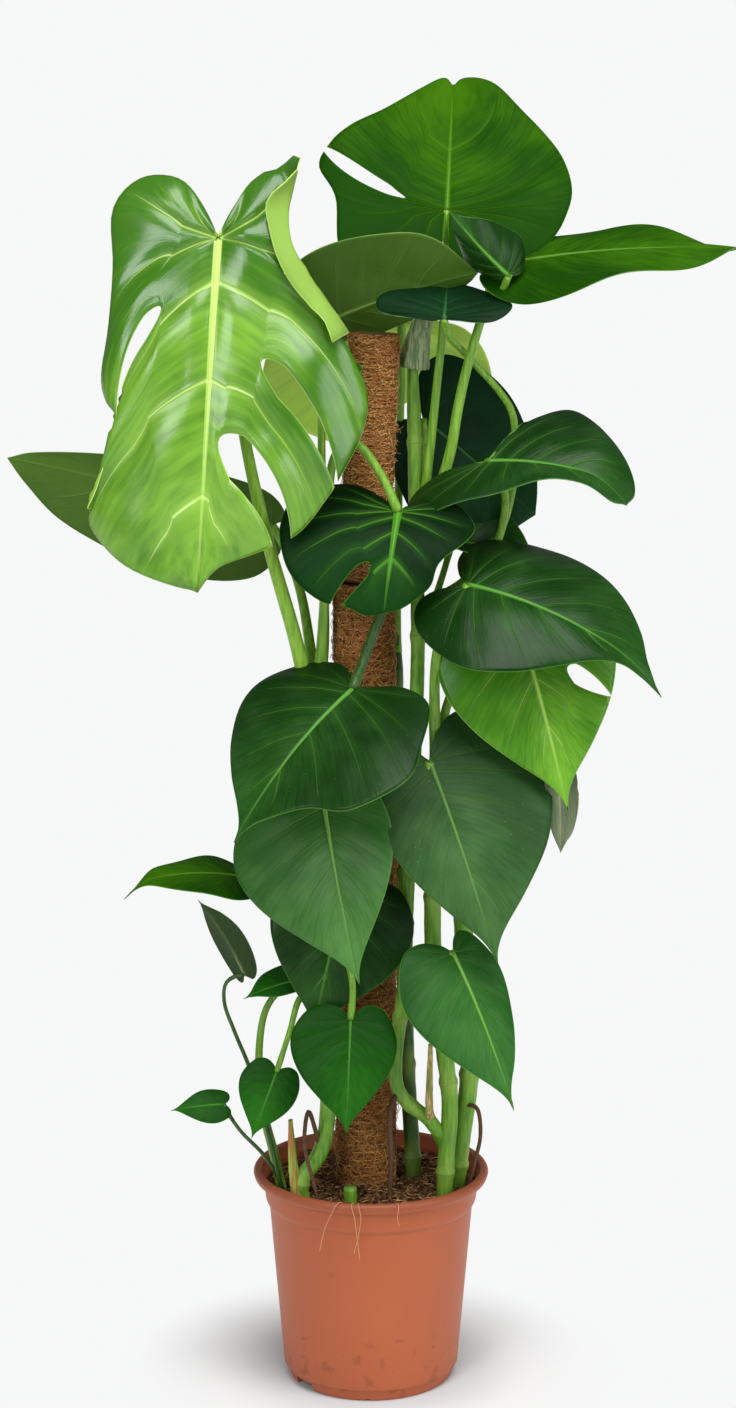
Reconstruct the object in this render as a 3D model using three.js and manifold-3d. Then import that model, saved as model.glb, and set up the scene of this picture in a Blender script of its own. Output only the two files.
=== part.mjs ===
// A potted swiss cheese plant (Monstera deliciosa, mostly juvenile heart leaves) on two stacked
// coir poles in a plastic nursery pot. Millimetres, +Z up, origin in the middle of the pot's foot.
// The plant's front faces -Y.
import * as THREE from "three";
import { mergeVertices } from "three/addons/utils/BufferGeometryUtils.js";
import Module from "manifold-3d";

const wasm = await Module();
wasm.setup();

// Driving dimensions of the pot
const POT_HEIGHT = 220;
const RIM_RADIUS = 120;
const FOOT_RADIUS = 84;
const WALL = 2;
const FLOOR = 5;
const SOIL_TOP = 203;

// Driving dimensions of the poles and of what grows
const LOWER_POLE_RADIUS = 31;
const UPPER_POLE_RADIUS = 25;
const LOWER_POLE_TOP = 821;
const UPPER_POLE_TOP = 1064;
const LOWER_PIPE_RADIUS = 20;
const UPPER_PIPE_RADIUS = 15;
const PIPE_WALL = 2.5;
const PLUG_DEPTH = 40;
const CAP_DEPTH = 14;
const POLE_STEP = 1.5;
const BLADE_THICKNESS = 1.4;
const GAP = 0.3;

const plant = new THREE.Group();

const finish = {
  pot: new THREE.MeshStandardMaterial({ color: 0xbc6746, roughness: 0.55, metalness: 0 }),
  soil: new THREE.MeshStandardMaterial({ color: 0x463223, roughness: 1, metalness: 0 }),
  coir: new THREE.MeshStandardMaterial({ color: 0x965a2d, roughness: 1, metalness: 0 }),
  pipe: new THREE.MeshStandardMaterial({ color: 0x6b5a48, roughness: 0.6, metalness: 0 }),
  stem: new THREE.MeshStandardMaterial({ color: 0x6e9c3c, roughness: 0.5, metalness: 0 }),
  root: new THREE.MeshStandardMaterial({ color: 0x4a3524, roughness: 0.9, metalness: 0 }),
  leaf: new THREE.MeshStandardMaterial({ color: 0x2d6e1e, roughness: 0.35, metalness: 0 }),
  lime: new THREE.MeshStandardMaterial({ color: 0x78b43c, roughness: 0.3, metalness: 0 }),
};

// Solids and their meshes
function solid(geometry) {
  const bare = geometry.index ? geometry.toNonIndexed() : geometry.clone();
  const plain = new THREE.BufferGeometry().setAttribute("position", bare.getAttribute("position"));
  const merged = mergeVertices(plain, 1e-3);
  const index = merged.index.array;
  const kept = [];
  for (let i = 0; i < index.length; i += 3) {
    const [a, b, c] = [index[i], index[i + 1], index[i + 2]];
    if (a !== b && b !== c && c !== a) kept.push(a, b, c);
  }
  const made = new wasm.Manifold(
    new wasm.Mesh({
      numProp: 3,
      vertProperties: merged.attributes.position.array,
      triVerts: new Uint32Array(kept),
    }),
  );
  return made;
}

function addNode(name, body, material) {
  const { vertProperties, triVerts } = body.getMesh();
  const geometry = new THREE.BufferGeometry();
  geometry.setAttribute("position", new THREE.BufferAttribute(vertProperties, 3));
  geometry.setIndex(new THREE.BufferAttribute(triVerts, 1));
  geometry.computeVertexNormals();
  const mesh = new THREE.Mesh(geometry, material);
  mesh.name = name;
  plant.add(mesh);
}

// The largest connected piece of a body that a cut may have left crumbs of
function mainPiece(body) {
  const pieces = body.decompose();
  pieces.sort((a, b) => b.volume() - a.volume());
  return pieces[0];
}

// A lathe around +Z: profile points are [radius, height], listed so that the faces point out
function turned(profile, segments) {
  const points = profile.map(([r, z]) => new THREE.Vector2(r, z));
  const geometry = new THREE.LatheGeometry(points, segments);
  geometry.rotateX(Math.PI / 2);
  return geometry;
}

// A closed round bar along a smooth curve, with its radius given along the way from 0 to 1
function bar(points, radiusAt, sides, steps) {
  const curve = new THREE.CatmullRomCurve3(points.map((p) => new THREE.Vector3(...p)));
  const frames = curve.computeFrenetFrames(steps, false);
  const rings = [];
  for (let i = 0; i <= steps; i++) {
    const centre = curve.getPointAt(i / steps);
    const ring = [];
    for (let k = 0; k < sides; k++) {
      const angle = (2 * Math.PI * k) / sides;
      const spoke = frames.normals[i].clone().multiplyScalar(Math.cos(angle));
      spoke.addScaledVector(frames.binormals[i], Math.sin(angle));
      ring.push(centre.clone().addScaledVector(spoke, radiusAt(i / steps)));
    }
    rings.push(ring);
  }
  const corners = [];
  for (let i = 0; i < steps; i++)
    for (let k = 0; k < sides; k++) {
      const n = (k + 1) % sides;
      corners.push(rings[i][k], rings[i][n], rings[i + 1][n]);
      corners.push(rings[i][k], rings[i + 1][n], rings[i + 1][k]);
    }
  for (let k = 1; k < sides - 1; k++) {
    corners.push(rings[0][0], rings[0][k + 1], rings[0][k]);
    corners.push(rings[steps][0], rings[steps][k], rings[steps][k + 1]);
  }
  return new THREE.BufferGeometry().setFromPoints(corners);
}

const tapered = (from, to) => (s) => from + (to - from) * s;

// The pot: thin wall, rolled lip, collar, taper, a shoulder over the foot ring, a raised floor, and
// two drain slots and two nicks cut in the ring
const COLLAR_FOOT = 188;
const COLLAR_RADIUS = 107;
const SHOULDER = { height: 16, radius: 89.5 };
const WALL_HEAD = { height: COLLAR_FOOT - 5, radius: 103.5 };
const WALL_SLOPE = (WALL_HEAD.radius - SHOULDER.radius) / (WALL_HEAD.height - SHOULDER.height);
const wallRadius = (z) => SHOULDER.radius + (z - SHOULDER.height) * WALL_SLOPE;
const potProfile = [
  [0, FLOOR - 3],
  [FOOT_RADIUS - 8, FLOOR - 3],
  [FOOT_RADIUS - 8, 0],
  [FOOT_RADIUS - 3, 0],
  [FOOT_RADIUS - 0.5, 2.5],
  [FOOT_RADIUS + 1.2, 10],
  [FOOT_RADIUS + 2.4, 12.5],
  [SHOULDER.radius - 0.6, SHOULDER.height],
  [wallRadius(24), 24],
  [WALL_HEAD.radius, WALL_HEAD.height],
  [COLLAR_RADIUS, COLLAR_FOOT],
  [COLLAR_RADIUS + 2.4, POT_HEIGHT - 11],
  [117, POT_HEIGHT - 10.5],
  [119.4, POT_HEIGHT - 8],
  [RIM_RADIUS, POT_HEIGHT - 4],
  [118.6, POT_HEIGHT - 0.8],
  [116, POT_HEIGHT],
  [113.5, POT_HEIGHT - 0.8],
  [COLLAR_RADIUS + 3, POT_HEIGHT - 4],
  [COLLAR_RADIUS + 0.4, POT_HEIGHT - 13],
  [COLLAR_RADIUS - WALL, COLLAR_FOOT + WALL],
  [WALL_HEAD.radius - WALL, WALL_HEAD.height + WALL],
  [wallRadius(30) - WALL, 30],
  [FOOT_RADIUS - 2, FLOOR],
  [0, FLOOR],
];
const POT_SEGMENTS = 32;
const CUT_DEPTH = 16;
const CUT_BELOW = 1;
const footCuts = [
  { width: 28, height: 8, angle: 216 },
  { width: 28, height: 8, angle: 36 },
  { width: 5, height: 2, angle: 268 },
  { width: 5, height: 2, angle: 88 },
];
let pot = solid(turned(potProfile, POT_SEGMENTS));
for (const { width, height, angle } of footCuts) {
  const cutter = new THREE.BoxGeometry(CUT_DEPTH, width, height + CUT_BELOW);
  cutter.translate(FOOT_RADIUS - 1, 0, (height - CUT_BELOW) / 2);
  cutter.rotateZ(THREE.MathUtils.degToRad(angle));
  pot = pot.subtract(solid(cutter));
}
addNode("nursery_pot", pot, finish.pot);

// The two coir poles, each a coir wrap round a pipe; the upper pipe plugs into the lower one
const lowerFoot = new THREE.Vector3(-4, 0, 14);
const lowerHead = new THREE.Vector3(-7, 0, LOWER_POLE_TOP);
const upperHead = new THREE.Vector3(3, 0, UPPER_POLE_TOP);
const POLE_SIDES = 24;

// A round bar or a tube between two points
function straight(from, to, radius, bore = 0, sides = POLE_SIDES) {
  const length = from.distanceTo(to);
  const profile = bore
    ? [[bore, 0], [radius, 0], [radius, length], [bore, length], [bore, 0]]
    : [[0, 0], [radius, 0], [radius, length], [0, length]];
  const geometry = turned(profile, sides);
  const turn = new THREE.Quaternion().setFromUnitVectors(
    new THREE.Vector3(0, 0, 1),
    to.clone().sub(from).normalize(),
  );
  geometry.applyQuaternion(turn);
  geometry.translate(from.x, from.y, from.z);
  return geometry;
}
const along = (from, to, distance) =>
  from.clone().addScaledVector(to.clone().sub(from).normalize(), distance);
const upperFoot = along(lowerHead, upperHead, POLE_STEP);
const plugFoot = along(lowerHead, upperHead, -PLUG_DEPTH);
const capFoot = along(upperHead, lowerHead, CAP_DEPTH);
const poles = [
  ["coir_pole_lower", "coir", lowerFoot, lowerHead, LOWER_POLE_RADIUS, LOWER_PIPE_RADIUS + GAP],
  ["pole_pipe_lower", "pipe", lowerFoot, lowerHead, LOWER_PIPE_RADIUS, LOWER_PIPE_RADIUS - PIPE_WALL],
  ["coir_pole_upper", "coir", upperFoot, upperHead, UPPER_POLE_RADIUS, UPPER_PIPE_RADIUS + GAP],
  ["pole_pipe_upper", "pipe", plugFoot, upperHead, UPPER_PIPE_RADIUS, UPPER_PIPE_RADIUS - PIPE_WALL],
  ["pole_top_plug", "pipe", capFoot, upperHead, UPPER_PIPE_RADIUS - PIPE_WALL - GAP, 0],
];
for (const [name, material, from, to, radius, bore] of poles)
  addNode(name, solid(straight(from, to, radius, bore)), finish[material]);
const poleKeepOut = [
  solid(straight(along(lowerFoot, lowerHead, -GAP), lowerHead, LOWER_POLE_RADIUS + GAP)),
  solid(straight(along(lowerHead, upperHead, -1), upperHead, UPPER_POLE_RADIUS + GAP)),
];

// Climbing stems: [name, radius, points from the soil up]; a ring stands at each old leaf scar
const stems = [
  [
    "stem_left", 8,
    [
      [-60, -56, 180], [-70, -67, 224], [-50, -60, 256], [-43, -52, 298], [-46, -40, 400],
      [-48, -36, 520], [-50, -34, 640], [-50, -28, 740],
    ],
  ],
  [
    "stem_main", 7,
    [
      [82, -8, 180], [76, -30, 245], [60, -48, 282], [27, -54, 318], [33, -48, 428], [36, -42, 520],
      [42, -34, 640], [46, -12, 760], [44, 10, 880], [42, 22, 985], [40, 22, 1040],
    ],
  ],
  [
    "stem_right", 8.5,
    [
      [74, -44, 180], [75, -42, 236], [79, -42, 298], [71, -42, 370], [62, -38, 450], [62, -34, 560],
      [66, -28, 660],
    ],
  ],
  [
    "stem_outer", 9.5,
    [
      [84, -16, 180], [91, -18, 252], [99, -16, 320], [97, -12, 400], [92, -6, 480], [86, 2, 570],
    ],
  ],
  [
    "stem_dark", 8,
    [
      [44, 4, 180], [43, 4, 222], [38, 18, 300], [34, 34, 400], [30, 40, 520], [26, 44, 640],
      [24, 46, 760],
    ],
  ],
];
const NODE_SPACING = 95;
function stemRadius(radius, length) {
  return (s) => {
    const phase = ((s * length) / NODE_SPACING) % 1;
    const ring = Math.exp(-(((phase - 0.5) / 0.07) ** 2));
    const tip = s > 0.94 ? 1 - (s - 0.94) * 6 : 1;
    return radius * (1 + 0.16 * ring) * tip;
  };
}
const stemBodies = {};
const stemKeepOut = [];
for (const [name, radius, points] of stems) {
  const length = new THREE.CatmullRomCurve3(points.map((p) => new THREE.Vector3(...p))).getLength();
  const steps = Math.round(length / 26);
  const shape = stemRadius(radius, length);
  let body = solid(bar(points, shape, 8, steps));
  for (const keepOut of [...poleKeepOut, ...stemKeepOut]) body = body.subtract(keepOut);
  stemBodies[name] = mainPiece(body);
  stemKeepOut.push(solid(bar(points, (s) => shape(s) + GAP, 8, steps)));
}

// Leaf blades. The outline of each half is a curve through a few points [along, across], measured
// flat from the stalk's joint: along the midrib, and out from it. A heart's outline is in shares
// of its length and half width.
function heart(length, width, lobe = 0.12, belly = 0.2) {
  const shares = [
    [0, 0], [-0.6 * lobe, 0.14], [-lobe, 0.4], [-0.7 * lobe, 0.7], [belly - 0.15, 0.91], [belly, 1],
    [belly + 0.16, 0.95], [belly + 0.33, 0.76], [0.7, 0.45], [0.83, 0.18], [0.92, 0.05], [1, 0],
  ];
  return shares.map(([u, v]) => [u * length, v * width]);
}

// A point of the outline, at a share q of the way from the joint to the tip
function onOutline(outline, q) {
  const points = outline.map(([u, v]) => new THREE.Vector3(u, v, 0));
  return new THREE.CatmullRomCurve3(points, false, "catmullrom", 0.5).getPoint(q);
}

// The blade bends along its midrib by arch, its halves rise by fold and curl back by cup (degrees)
class Blade {
  constructor({ from, to, face, arch = 25, fold = 8, cup = 20, twist = 0, bow = 0.12, base = 0.4 }) {
    this.joint = new THREE.Vector3(...from);
    const chord = new THREE.Vector3(...to).sub(this.joint);
    this.ahead = chord.clone().normalize();
    this.up = new THREE.Vector3(...face);
    this.up.addScaledVector(this.ahead, -this.up.dot(this.ahead)).normalize();
    this.side = this.up.clone().cross(this.ahead);
    this.arch = THREE.MathUtils.degToRad(arch);
    this.length = (chord.length() * this.arch) / 2 / Math.sin(this.arch / 2);
    this.fold = THREE.MathUtils.degToRad(fold);
    this.cup = THREE.MathUtils.degToRad(cup);
    this.twist = THREE.MathUtils.degToRad(twist);
    this.bow = bow;
    this.base = base;
  }

  // The place of a flat point; v is negative on the left half, and reach is that half's width
  place(u, v, reach) {
    const share = u / this.length;
    const bend = this.arch * (0.5 - share);
    const radius = this.length / this.arch;
    const lean = share * this.twist;
    const point = this.joint.clone();
    point.addScaledVector(this.ahead, radius * (Math.sin(this.arch / 2) - Math.sin(bend)));
    point.addScaledVector(this.up, radius * (Math.cos(bend) - Math.cos(this.arch / 2)));
    const normal = this.up.clone().multiplyScalar(Math.cos(bend));
    normal.addScaledVector(this.ahead, -Math.sin(bend));
    const out = this.side.clone().multiplyScalar(Math.cos(lean)).addScaledVector(normal, Math.sin(lean));
    const raised = normal.multiplyScalar(Math.cos(lean)).addScaledVector(this.side, -Math.sin(lean));
    const rise = this.fold - (this.cup * Math.abs(v)) / (2 * reach);
    point.addScaledVector(out, v * Math.cos(rise));
    point.addScaledVector(raised, Math.abs(v) * Math.sin(rise));
    return point;
  }

  // The place at a share q along the outline and a share t out along the side vein
  vein(outline, q, t, hand, reach) {
    const edge = onOutline(outline, q);
    const tip = outline[outline.length - 1][0];
    const start = tip * Math.max(0, (q - this.base) / (1 - this.base)) ** 1.6;
    const du = edge.x - start;
    const span = Math.hypot(du, edge.y) || 1;
    const bulge = (2 * t * (1 - t) * this.bow * du) / span;
    const u = start + du * t - bulge * edge.y;
    const v = edge.y * t + bulge * du;
    return this.place(u, hand * Math.max(v, 0), reach);
  }
}

const SLIT_REACH = 0.09;
// How far a slit pushes the veins beside it away, at a share t out along it
function opening(slit, t) {
  if (t <= slit.from) return 0;
  const way = (t - slit.from) / (1 - slit.from);
  return slit.width * Math.sqrt(Math.min(1, way / 0.2)) * (1 - 0.55 * way * way);
}

// The triangles of one half of a blade's middle surface. Both halves have a column of points at
// the slits of either, so that they share the points of the midrib.
function halfBlade(blade, outline, hand, columns, rows, slits, marks) {
  const reach = Math.max(...outline.map(([, v]) => v));
  const spots = [];
  for (let i = 0; i <= columns; i++) spots.push({ q: i / columns, cut: null });
  for (const mark of marks) {
    const away = ({ q }) => Math.abs(q - mark.at);
    const nearest = spots.reduce((a, b) => (away(b) < away(a) ? b : a));
    nearest.q = mark.at;
    nearest.cut = mark;
  }
  const spot = ({ q, cut }, t, beside) => {
    let moved = q;
    for (const slit of slits) {
      const away = cut === slit ? beside : Math.sign(q - slit.at);
      const near = Math.max(0, 1 - Math.abs(q - slit.at) / SLIT_REACH);
      moved += away * near * opening(slit, t);
    }
    return blade.vein(outline, moved, t, hand, reach);
  };
  const corners = [];
  for (let i = 0; i < columns; i++)
    for (let j = 0; j < rows; j++) {
      const [t0, t1] = [j / rows, (j + 1) / rows];
      const quad = [
        spot(spots[i], t0, 1), spot(spots[i], t1, 1),
        spot(spots[i + 1], t1, -1), spot(spots[i + 1], t0, -1),
      ];
      const order = hand > 0 ? [0, 1, 2, 0, 2, 3] : [0, 2, 1, 0, 3, 2];
      for (const k of order) corners.push(quad[k]);
    }
  return corners;
}

// A closed slab around a middle surface: its two faces, and a strip along every free edge
function thicken(corners, thickness) {
  const sheet = mergeVertices(new THREE.BufferGeometry().setFromPoints(corners), 1e-2);
  const source = sheet.index.array;
  const kept = [];
  for (let i = 0; i < source.length; i += 3) {
    const [a, b, c] = [source[i], source[i + 1], source[i + 2]];
    if (a !== b && b !== c && c !== a) kept.push(a, b, c);
  }
  sheet.setIndex(kept);
  sheet.computeVertexNormals();
  const at = (i, side) => {
    const point = new THREE.Vector3().fromBufferAttribute(sheet.attributes.position, i);
    const normal = new THREE.Vector3().fromBufferAttribute(sheet.attributes.normal, i);
    return point.addScaledVector(normal, (side * thickness) / 2);
  };
  const uses = new Map();
  const key = (a, b) => a + "_" + b;
  const faces = [];
  for (let i = 0; i < kept.length; i += 3) {
    const [a, b, c] = [kept[i], kept[i + 1], kept[i + 2]];
    faces.push(at(a, 1), at(b, 1), at(c, 1), at(a, -1), at(c, -1), at(b, -1));
    for (const [p, r] of [[a, b], [b, c], [c, a]]) uses.set(key(p, r), [p, r]);
  }
  for (const [p, r] of uses.values())
    if (!uses.has(key(r, p))) {
      faces.push(at(p, 1), at(p, -1), at(r, -1));
      faces.push(at(p, 1), at(r, -1), at(r, 1));
    }
  return new THREE.BufferGeometry().setFromPoints(faces);
}

// Where a climbing stem's middle line passes a height
function onStem(name, height) {
  const [, , points] = stems.find((entry) => entry[0] === name);
  const curve = new THREE.CatmullRomCurve3(points.map((p) => new THREE.Vector3(...p)));
  let best = curve.getPoint(0);
  for (let i = 1; i <= 400; i++) {
    const point = curve.getPoint(i / 400);
    if (Math.abs(point.z - height) < Math.abs(best.z - height)) best = point;
  }
  return best.toArray();
}

// Leaves: joint of stalk and blade, tip, the way the upper face looks, the outlines of the halves
// (right and left as seen from above the blade with the tip towards the viewer), and the stalk
const leaves = [
  {
    name: "leaf_lime_split", material: "lime", size: "split",
    from: [-144, -60, 1157], to: [-164, -108, 830], face: [0, -1, 0.15],
    arch: 22, fold: 8, cup: 36, base: 0.45,
    right: [
      [0, 0], [-30, 12], [-62, 30], [-84, 64], [-42, 78], [18, 90], [62, 112], [103, 136], [134, 153],
      [172, 149], [216, 129], [242, 116], [276, 92], [294, 58], [312, 18], [336, 0],
    ],
    left: [
      [0, 0], [-32, 16], [-58, 42], [-57, 76], [-26, 102], [30, 100], [90, 103], [135, 107],
      [160, 98], [177, 85], [204, 92], [246, 102], [276, 112], [296, 97], [316, 68], [330, 28],
      [336, 0],
    ],
    rightSlits: [
      { at: 0.467, from: 0.4, width: 0.01 },
      { at: 0.69, from: 0.28, width: 0.026 },
      { at: 0.83, from: 0.1, width: 0.028 },
    ],
    leftSlits: [{ at: 0.5625, from: 0.36, width: 0.036 }],
    bow: 0.3,
    stem: ["stem_left", 650], radius: [8, 4],
    stalk: [
      [-60, -40, 700], [-72, -44, 762], [-100, -46, 868], [-120, -44, 960], [-138, -38, 1080],
      [-146, -46, 1140],
    ],
  },
  {
    name: "leaf_top", material: "leaf", size: "split",
    from: [73, 10, 1181], to: [81, 108, 1298], face: [0, -0.75, 0.65],
    arch: 14, fold: 8, cup: 8, base: 0.55, bow: 0.4,
    right: [
      [0, 0], [-46, 20], [-66, 60], [-58, 98], [4, 108], [40, 126], [66, 117], [88, 98], [112, 70],
      [146, 36], [163, 10], [156, 0],
    ],
    left: [
      [0, 0], [-50, 22], [-62, 60], [-46, 86], [-30, 102], [-8, 114], [22, 120], [60, 110], [93, 91],
      [126, 64], [154, 38], [165, 10], [156, 0],
    ],
    rightSlits: [{ at: 0.52, from: 0.3, width: 0.06 }],
    stem: ["stem_main", 880], radius: [5, 3.2],
    stalk: [[50, 10, 895], [57, 6, 945], [64, 6, 1013], [69, 8, 1062], [72, 10, 1120]],
  },
  {
    name: "leaf_twisted_right", material: "leaf", size: "large",
    from: [120, -20, 1130], to: [359, -48, 1146], face: [0, -0.62, 0.78],
    arch: 20, fold: 4, cup: 16, twist: -24,
    right: [[0, 0], [-10, 14], [-2, 30], [26, 42], [70, 48], [120, 44], [170, 34], [215, 18], [243, 0]],
    left: [[0, 0], [-14, 16], [-4, 40], [30, 58], [80, 62], [130, 50], [180, 36], [218, 18], [243, 0]],
    stem: ["stem_main", 865], radius: [6, 4],
    stalk: [
      [54, 4, 880], [66, -6, 910], [78, -12, 955], [84, -16, 993], [94, -18, 1038], [108, -20, 1087],
    ],
  },
  {
    name: "leaf_curled", material: "leaf",
    from: [130, -60, 1122], to: [72, -74, 1184], face: [-0.4, -0.9, 0.1], arch: 40, fold: -20, cup: 50,
    right: heart(84, 24), left: heart(84, 36),
    stalk: [[112, -22, 1102], [124, -44, 1108]], radius: [3, 3],
  },
  {
    name: "leaf_seen_from_below", material: "leaf", size: "large",
    from: [-36, 4, 1078], to: [102, -38, 1124], face: [0, 0.8, 0.6], arch: 16, fold: 4, cup: 12,
    right: [[0, 0], [-10, 14], [0, 30], [30, 36], [70, 34], [110, 26], [136, 12], [152, 0]],
    left: [
      [0, 0], [-16, 20], [-24, 50], [-8, 76], [30, 84], [74, 82], [108, 68], [132, 44], [146, 18],
      [152, 0],
    ],
    stem: ["stem_left", 728], radius: [5, 3.5],
    stalk: [[-46, -14, 765], [-47, -6, 870], [-48, 2, 983], [-44, 8, 1045]],
  },
  {
    name: "leaf_dark_edge_on", material: "leaf",
    from: [69, -62, 1082], to: [74, -8, 1112], face: [0, -0.35, 0.94], arch: 20, fold: 14, cup: 20,
    right: heart(63, 66), left: heart(63, 64),
    stem: ["stem_main", 790], radius: [4.5, 3],
    stalk: [
      [64, 2, 797], [96, 14, 824], [124, 26, 858], [139, 32, 905], [142, 30, 950], [138, 22, 985],
      [124, 12, 1008], [104, 4, 1030], [88, -8, 1048], [74, -40, 1064],
    ],
  },
  {
    name: "leaf_lime_behind", material: "lime", size: "large",
    from: [30, 64, 1070], to: [0, 198, 925], face: [0, 1, 0.4], arch: 30, fold: 4, cup: 14,
    right: [
      [0, 0], [-16, 30], [-10, 70], [20, 104], [64, 122], [110, 126], [150, 116], [180, 88], [192, 50],
      [194, 20], [190, 0],
    ],
    left: [
      [0, 0], [-14, 24], [-8, 56], [20, 84], [60, 102], [86, 104], [100, 86], [110, 56], [124, 28],
      [160, 10], [190, 0],
    ],
    stem: ["stem_dark", 745], stalk: [[26, 56, 820], [28, 62, 930], [30, 60, 1020]], radius: [5, 3.5],
  },
  {
    name: "leaf_dark_behind", material: "leaf", size: "large",
    from: [52, 60, 975], to: [164, 48, 880], face: [0.1, -0.95, 0.3], arch: 16, fold: 6, cup: 12,
    right: [[0, 0], [-20, 14], [-34, 40], [-24, 66], [10, 78], [50, 74], [90, 56], [120, 34], [147, 0]],
    left: [[0, 0], [-18, 18], [-12, 46], [20, 66], [60, 84], [96, 88], [120, 66], [136, 34], [147, 0]],
    stem: ["stem_main", 900], stalk: [[48, 34, 915], [52, 50, 945]], radius: [4.5, 3.5],
  },
  {
    name: "leaf_glossy_right", material: "leaf", size: "large",
    from: [112, -30, 943], to: [238, -62, 926], face: [0, -0.62, 0.78], arch: 34, fold: 12, cup: 30,
    right: [
      [0, 0], [10, 12], [20, 40], [38, 68], [60, 80], [84, 74], [108, 58], [130, 38], [143, 20],
      [140, 0],
    ],
    left: [
      [0, 0], [-40, 8], [-72, 26], [-76, 50], [-46, 62], [-8, 52], [28, 42], [66, 24], [104, 18],
      [128, 14], [140, 0],
    ],
    stem: ["stem_main", 780], radius: [5, 3.5],
    stalk: [[60, -6, 800], [92, 0, 822], [122, 6, 856], [131, 4, 890], [128, -8, 920]],
  },
  {
    name: "leaf_behind_right_heart", material: "leaf",
    from: [80, 20, 858], to: [168, 18, 838], face: [0, -0.45, 0.9], arch: 20, fold: 32, cup: 14,
    right: heart(92, 52), left: heart(92, 40),
    stem: ["stem_main", 760], stalk: [[58, -2, 790], [72, 12, 830]], radius: [4, 3],
  },
  {
    name: "leaf_right_heart", material: "leaf", size: "large",
    from: [93, -60, 827], to: [272, -100, 742], face: [0.2, -0.7, 0.7], arch: 46, fold: 4, cup: 30,
    right: [
      [0, 0], [-16, 13], [-26, 36], [-18, 63], [11, 82], [43, 90], [80, 87], [116, 74], [150, 56],
      [174, 38], [190, 14], [203, 4], [216, 0],
    ],
    left: [
      [0, 0], [-22, 12], [-38, 36], [-28, 64], [8, 84], [44, 90], [80, 78], [114, 54], [144, 28],
      [172, 12], [198, 4], [216, 0],
    ],
    stem: ["stem_right", 645], stalk: [[62, -42, 700], [66, -56, 770]], radius: [6, 4],
  },
  {
    name: "leaf_bright_low_right", material: "lime", size: "large",
    from: [140, -34, 798], to: [192, -66, 606], face: [0.1, -0.95, 0.3], arch: 22, fold: 6, cup: 18,
    right: heart(204, 84), left: heart(204, 90),
    rightSlits: [{ at: 0.42, from: 0.5, width: 0.02 }],
    stem: ["stem_right", 640], radius: [5, 3.5],
    stalk: [[74, -26, 700], [98, -22, 755], [124, -26, 792]],
  },
  {
    name: "leaf_front_heart", material: "leaf", size: "large",
    from: [-18, -84, 729], to: [-122, -176, 612], face: [-0.2, -0.5, 0.8], arch: 30, fold: 6, cup: 22,
    right: heart(198, 118, 0.12, 0.3), left: heart(198, 96),
    stem: ["stem_main", 850], stalk: [[26, -36, 835], [9, -48, 795], [-8, -66, 752]], radius: [6, 4.5],
  },
  {
    name: "leaf_lower_left_heart", material: "leaf", size: "large",
    from: [-46, -78, 618], to: [-12, -132, 453], face: [-0.3, -0.8, 0.5], arch: 22, fold: 6, cup: 20,
    right: heart(184, 62), left: heart(184, 102),
    stem: ["stem_left", 565], stalk: [[-50, -56, 575], [-50, -68, 598]], radius: [6, 4.5],
  },
  {
    name: "leaf_low_right_heart", material: "leaf", size: "large",
    from: [57, -62, 653], to: [122, -124, 466], face: [0.2, -0.9, 0.4], arch: 20, fold: 6, cup: 16,
    right: heart(210, 110, 0.2), left: heart(210, 70),
    stem: ["stem_main", 600], stalk: [[44, -52, 612], [52, -60, 636]], radius: [6, 4.5],
  },
  {
    name: "leaf_behind_lower_left", material: "leaf",
    from: [-26, -54, 522], to: [-58, -84, 384], face: [0, -0.95, 0.3], arch: 20, fold: 6, cup: 16,
    right: heart(146, 76), left: heart(146, 66),
    stem: ["stem_left", 470], stalk: [[-38, -50, 480], [-30, -54, 505]], radius: [4.5, 3.5],
  },
  {
    name: "leaf_side_left", material: "leaf",
    from: [-124, -34, 530], to: [-240, -66, 520], face: [-0.1, -0.3, 0.95], arch: 34, fold: 8, cup: 24,
    right: heart(124, 44), left: heart(124, 40),
    stem: ["stem_left", 495], stalk: [[-60, -34, 500], [-92, -32, 522]], radius: [4, 3],
  },
  {
    name: "leaf_right_small_heart", material: "leaf",
    from: [80, -88, 468], to: [137, -140, 328], face: [0.35, -0.85, 0.4], arch: 22, fold: 6, cup: 20,
    right: heart(165, 40), left: heart(165, 70),
    stem: ["stem_right", 415], stalk: [[66, -60, 426], [72, -78, 453]], radius: [5, 3.5],
  },
  {
    name: "leaf_small_heart_centre", material: "leaf",
    from: [-20, -98, 404], to: [-24, -126, 296], face: [0, -0.92, 0.4], arch: 20, fold: 6, cup: 18,
    right: heart(114, 46), left: heart(114, 58),
    stem: ["stem_left", 415], radius: [4, 3],
    stalk: [[-38, -62, 452], [-24, -86, 460], [-18, -98, 438]],
  },
  {
    name: "leaf_small_heart_left", material: "leaf",
    from: [-93, -78, 344], to: [-118, -94, 280], face: [0, -0.95, 0.3], arch: 18, fold: 6, cup: 18,
    right: heart(71, 28), left: heart(71, 32),
    stem: ["stem_left", 400], radius: [3.5, 2.5],
    stalk: [[-56, -48, 418], [-70, -60, 414], [-80, -72, 384]],
  },
  {
    name: "leaf_tiny_left", material: "leaf",
    from: [-146, -62, 305], to: [-198, -66, 300], face: [0.1, -0.75, 0.65], arch: 26, fold: 6, cup: 20,
    right: heart(54, 19), left: heart(54, 18),
    radius: [2.2, 1.8],
    stalk: [[-80, -34, 180], [-94, -40, 222], [-108, -48, 248], [-130, -56, 275], [-142, -60, 295]],
  },
  {
    name: "leaf_narrow_left", material: "leaf",
    from: [-126, -40, 432], to: [-170, -42, 508], face: [0.3, 0.8, 0.5], arch: 26, fold: 20, cup: 14,
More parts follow.
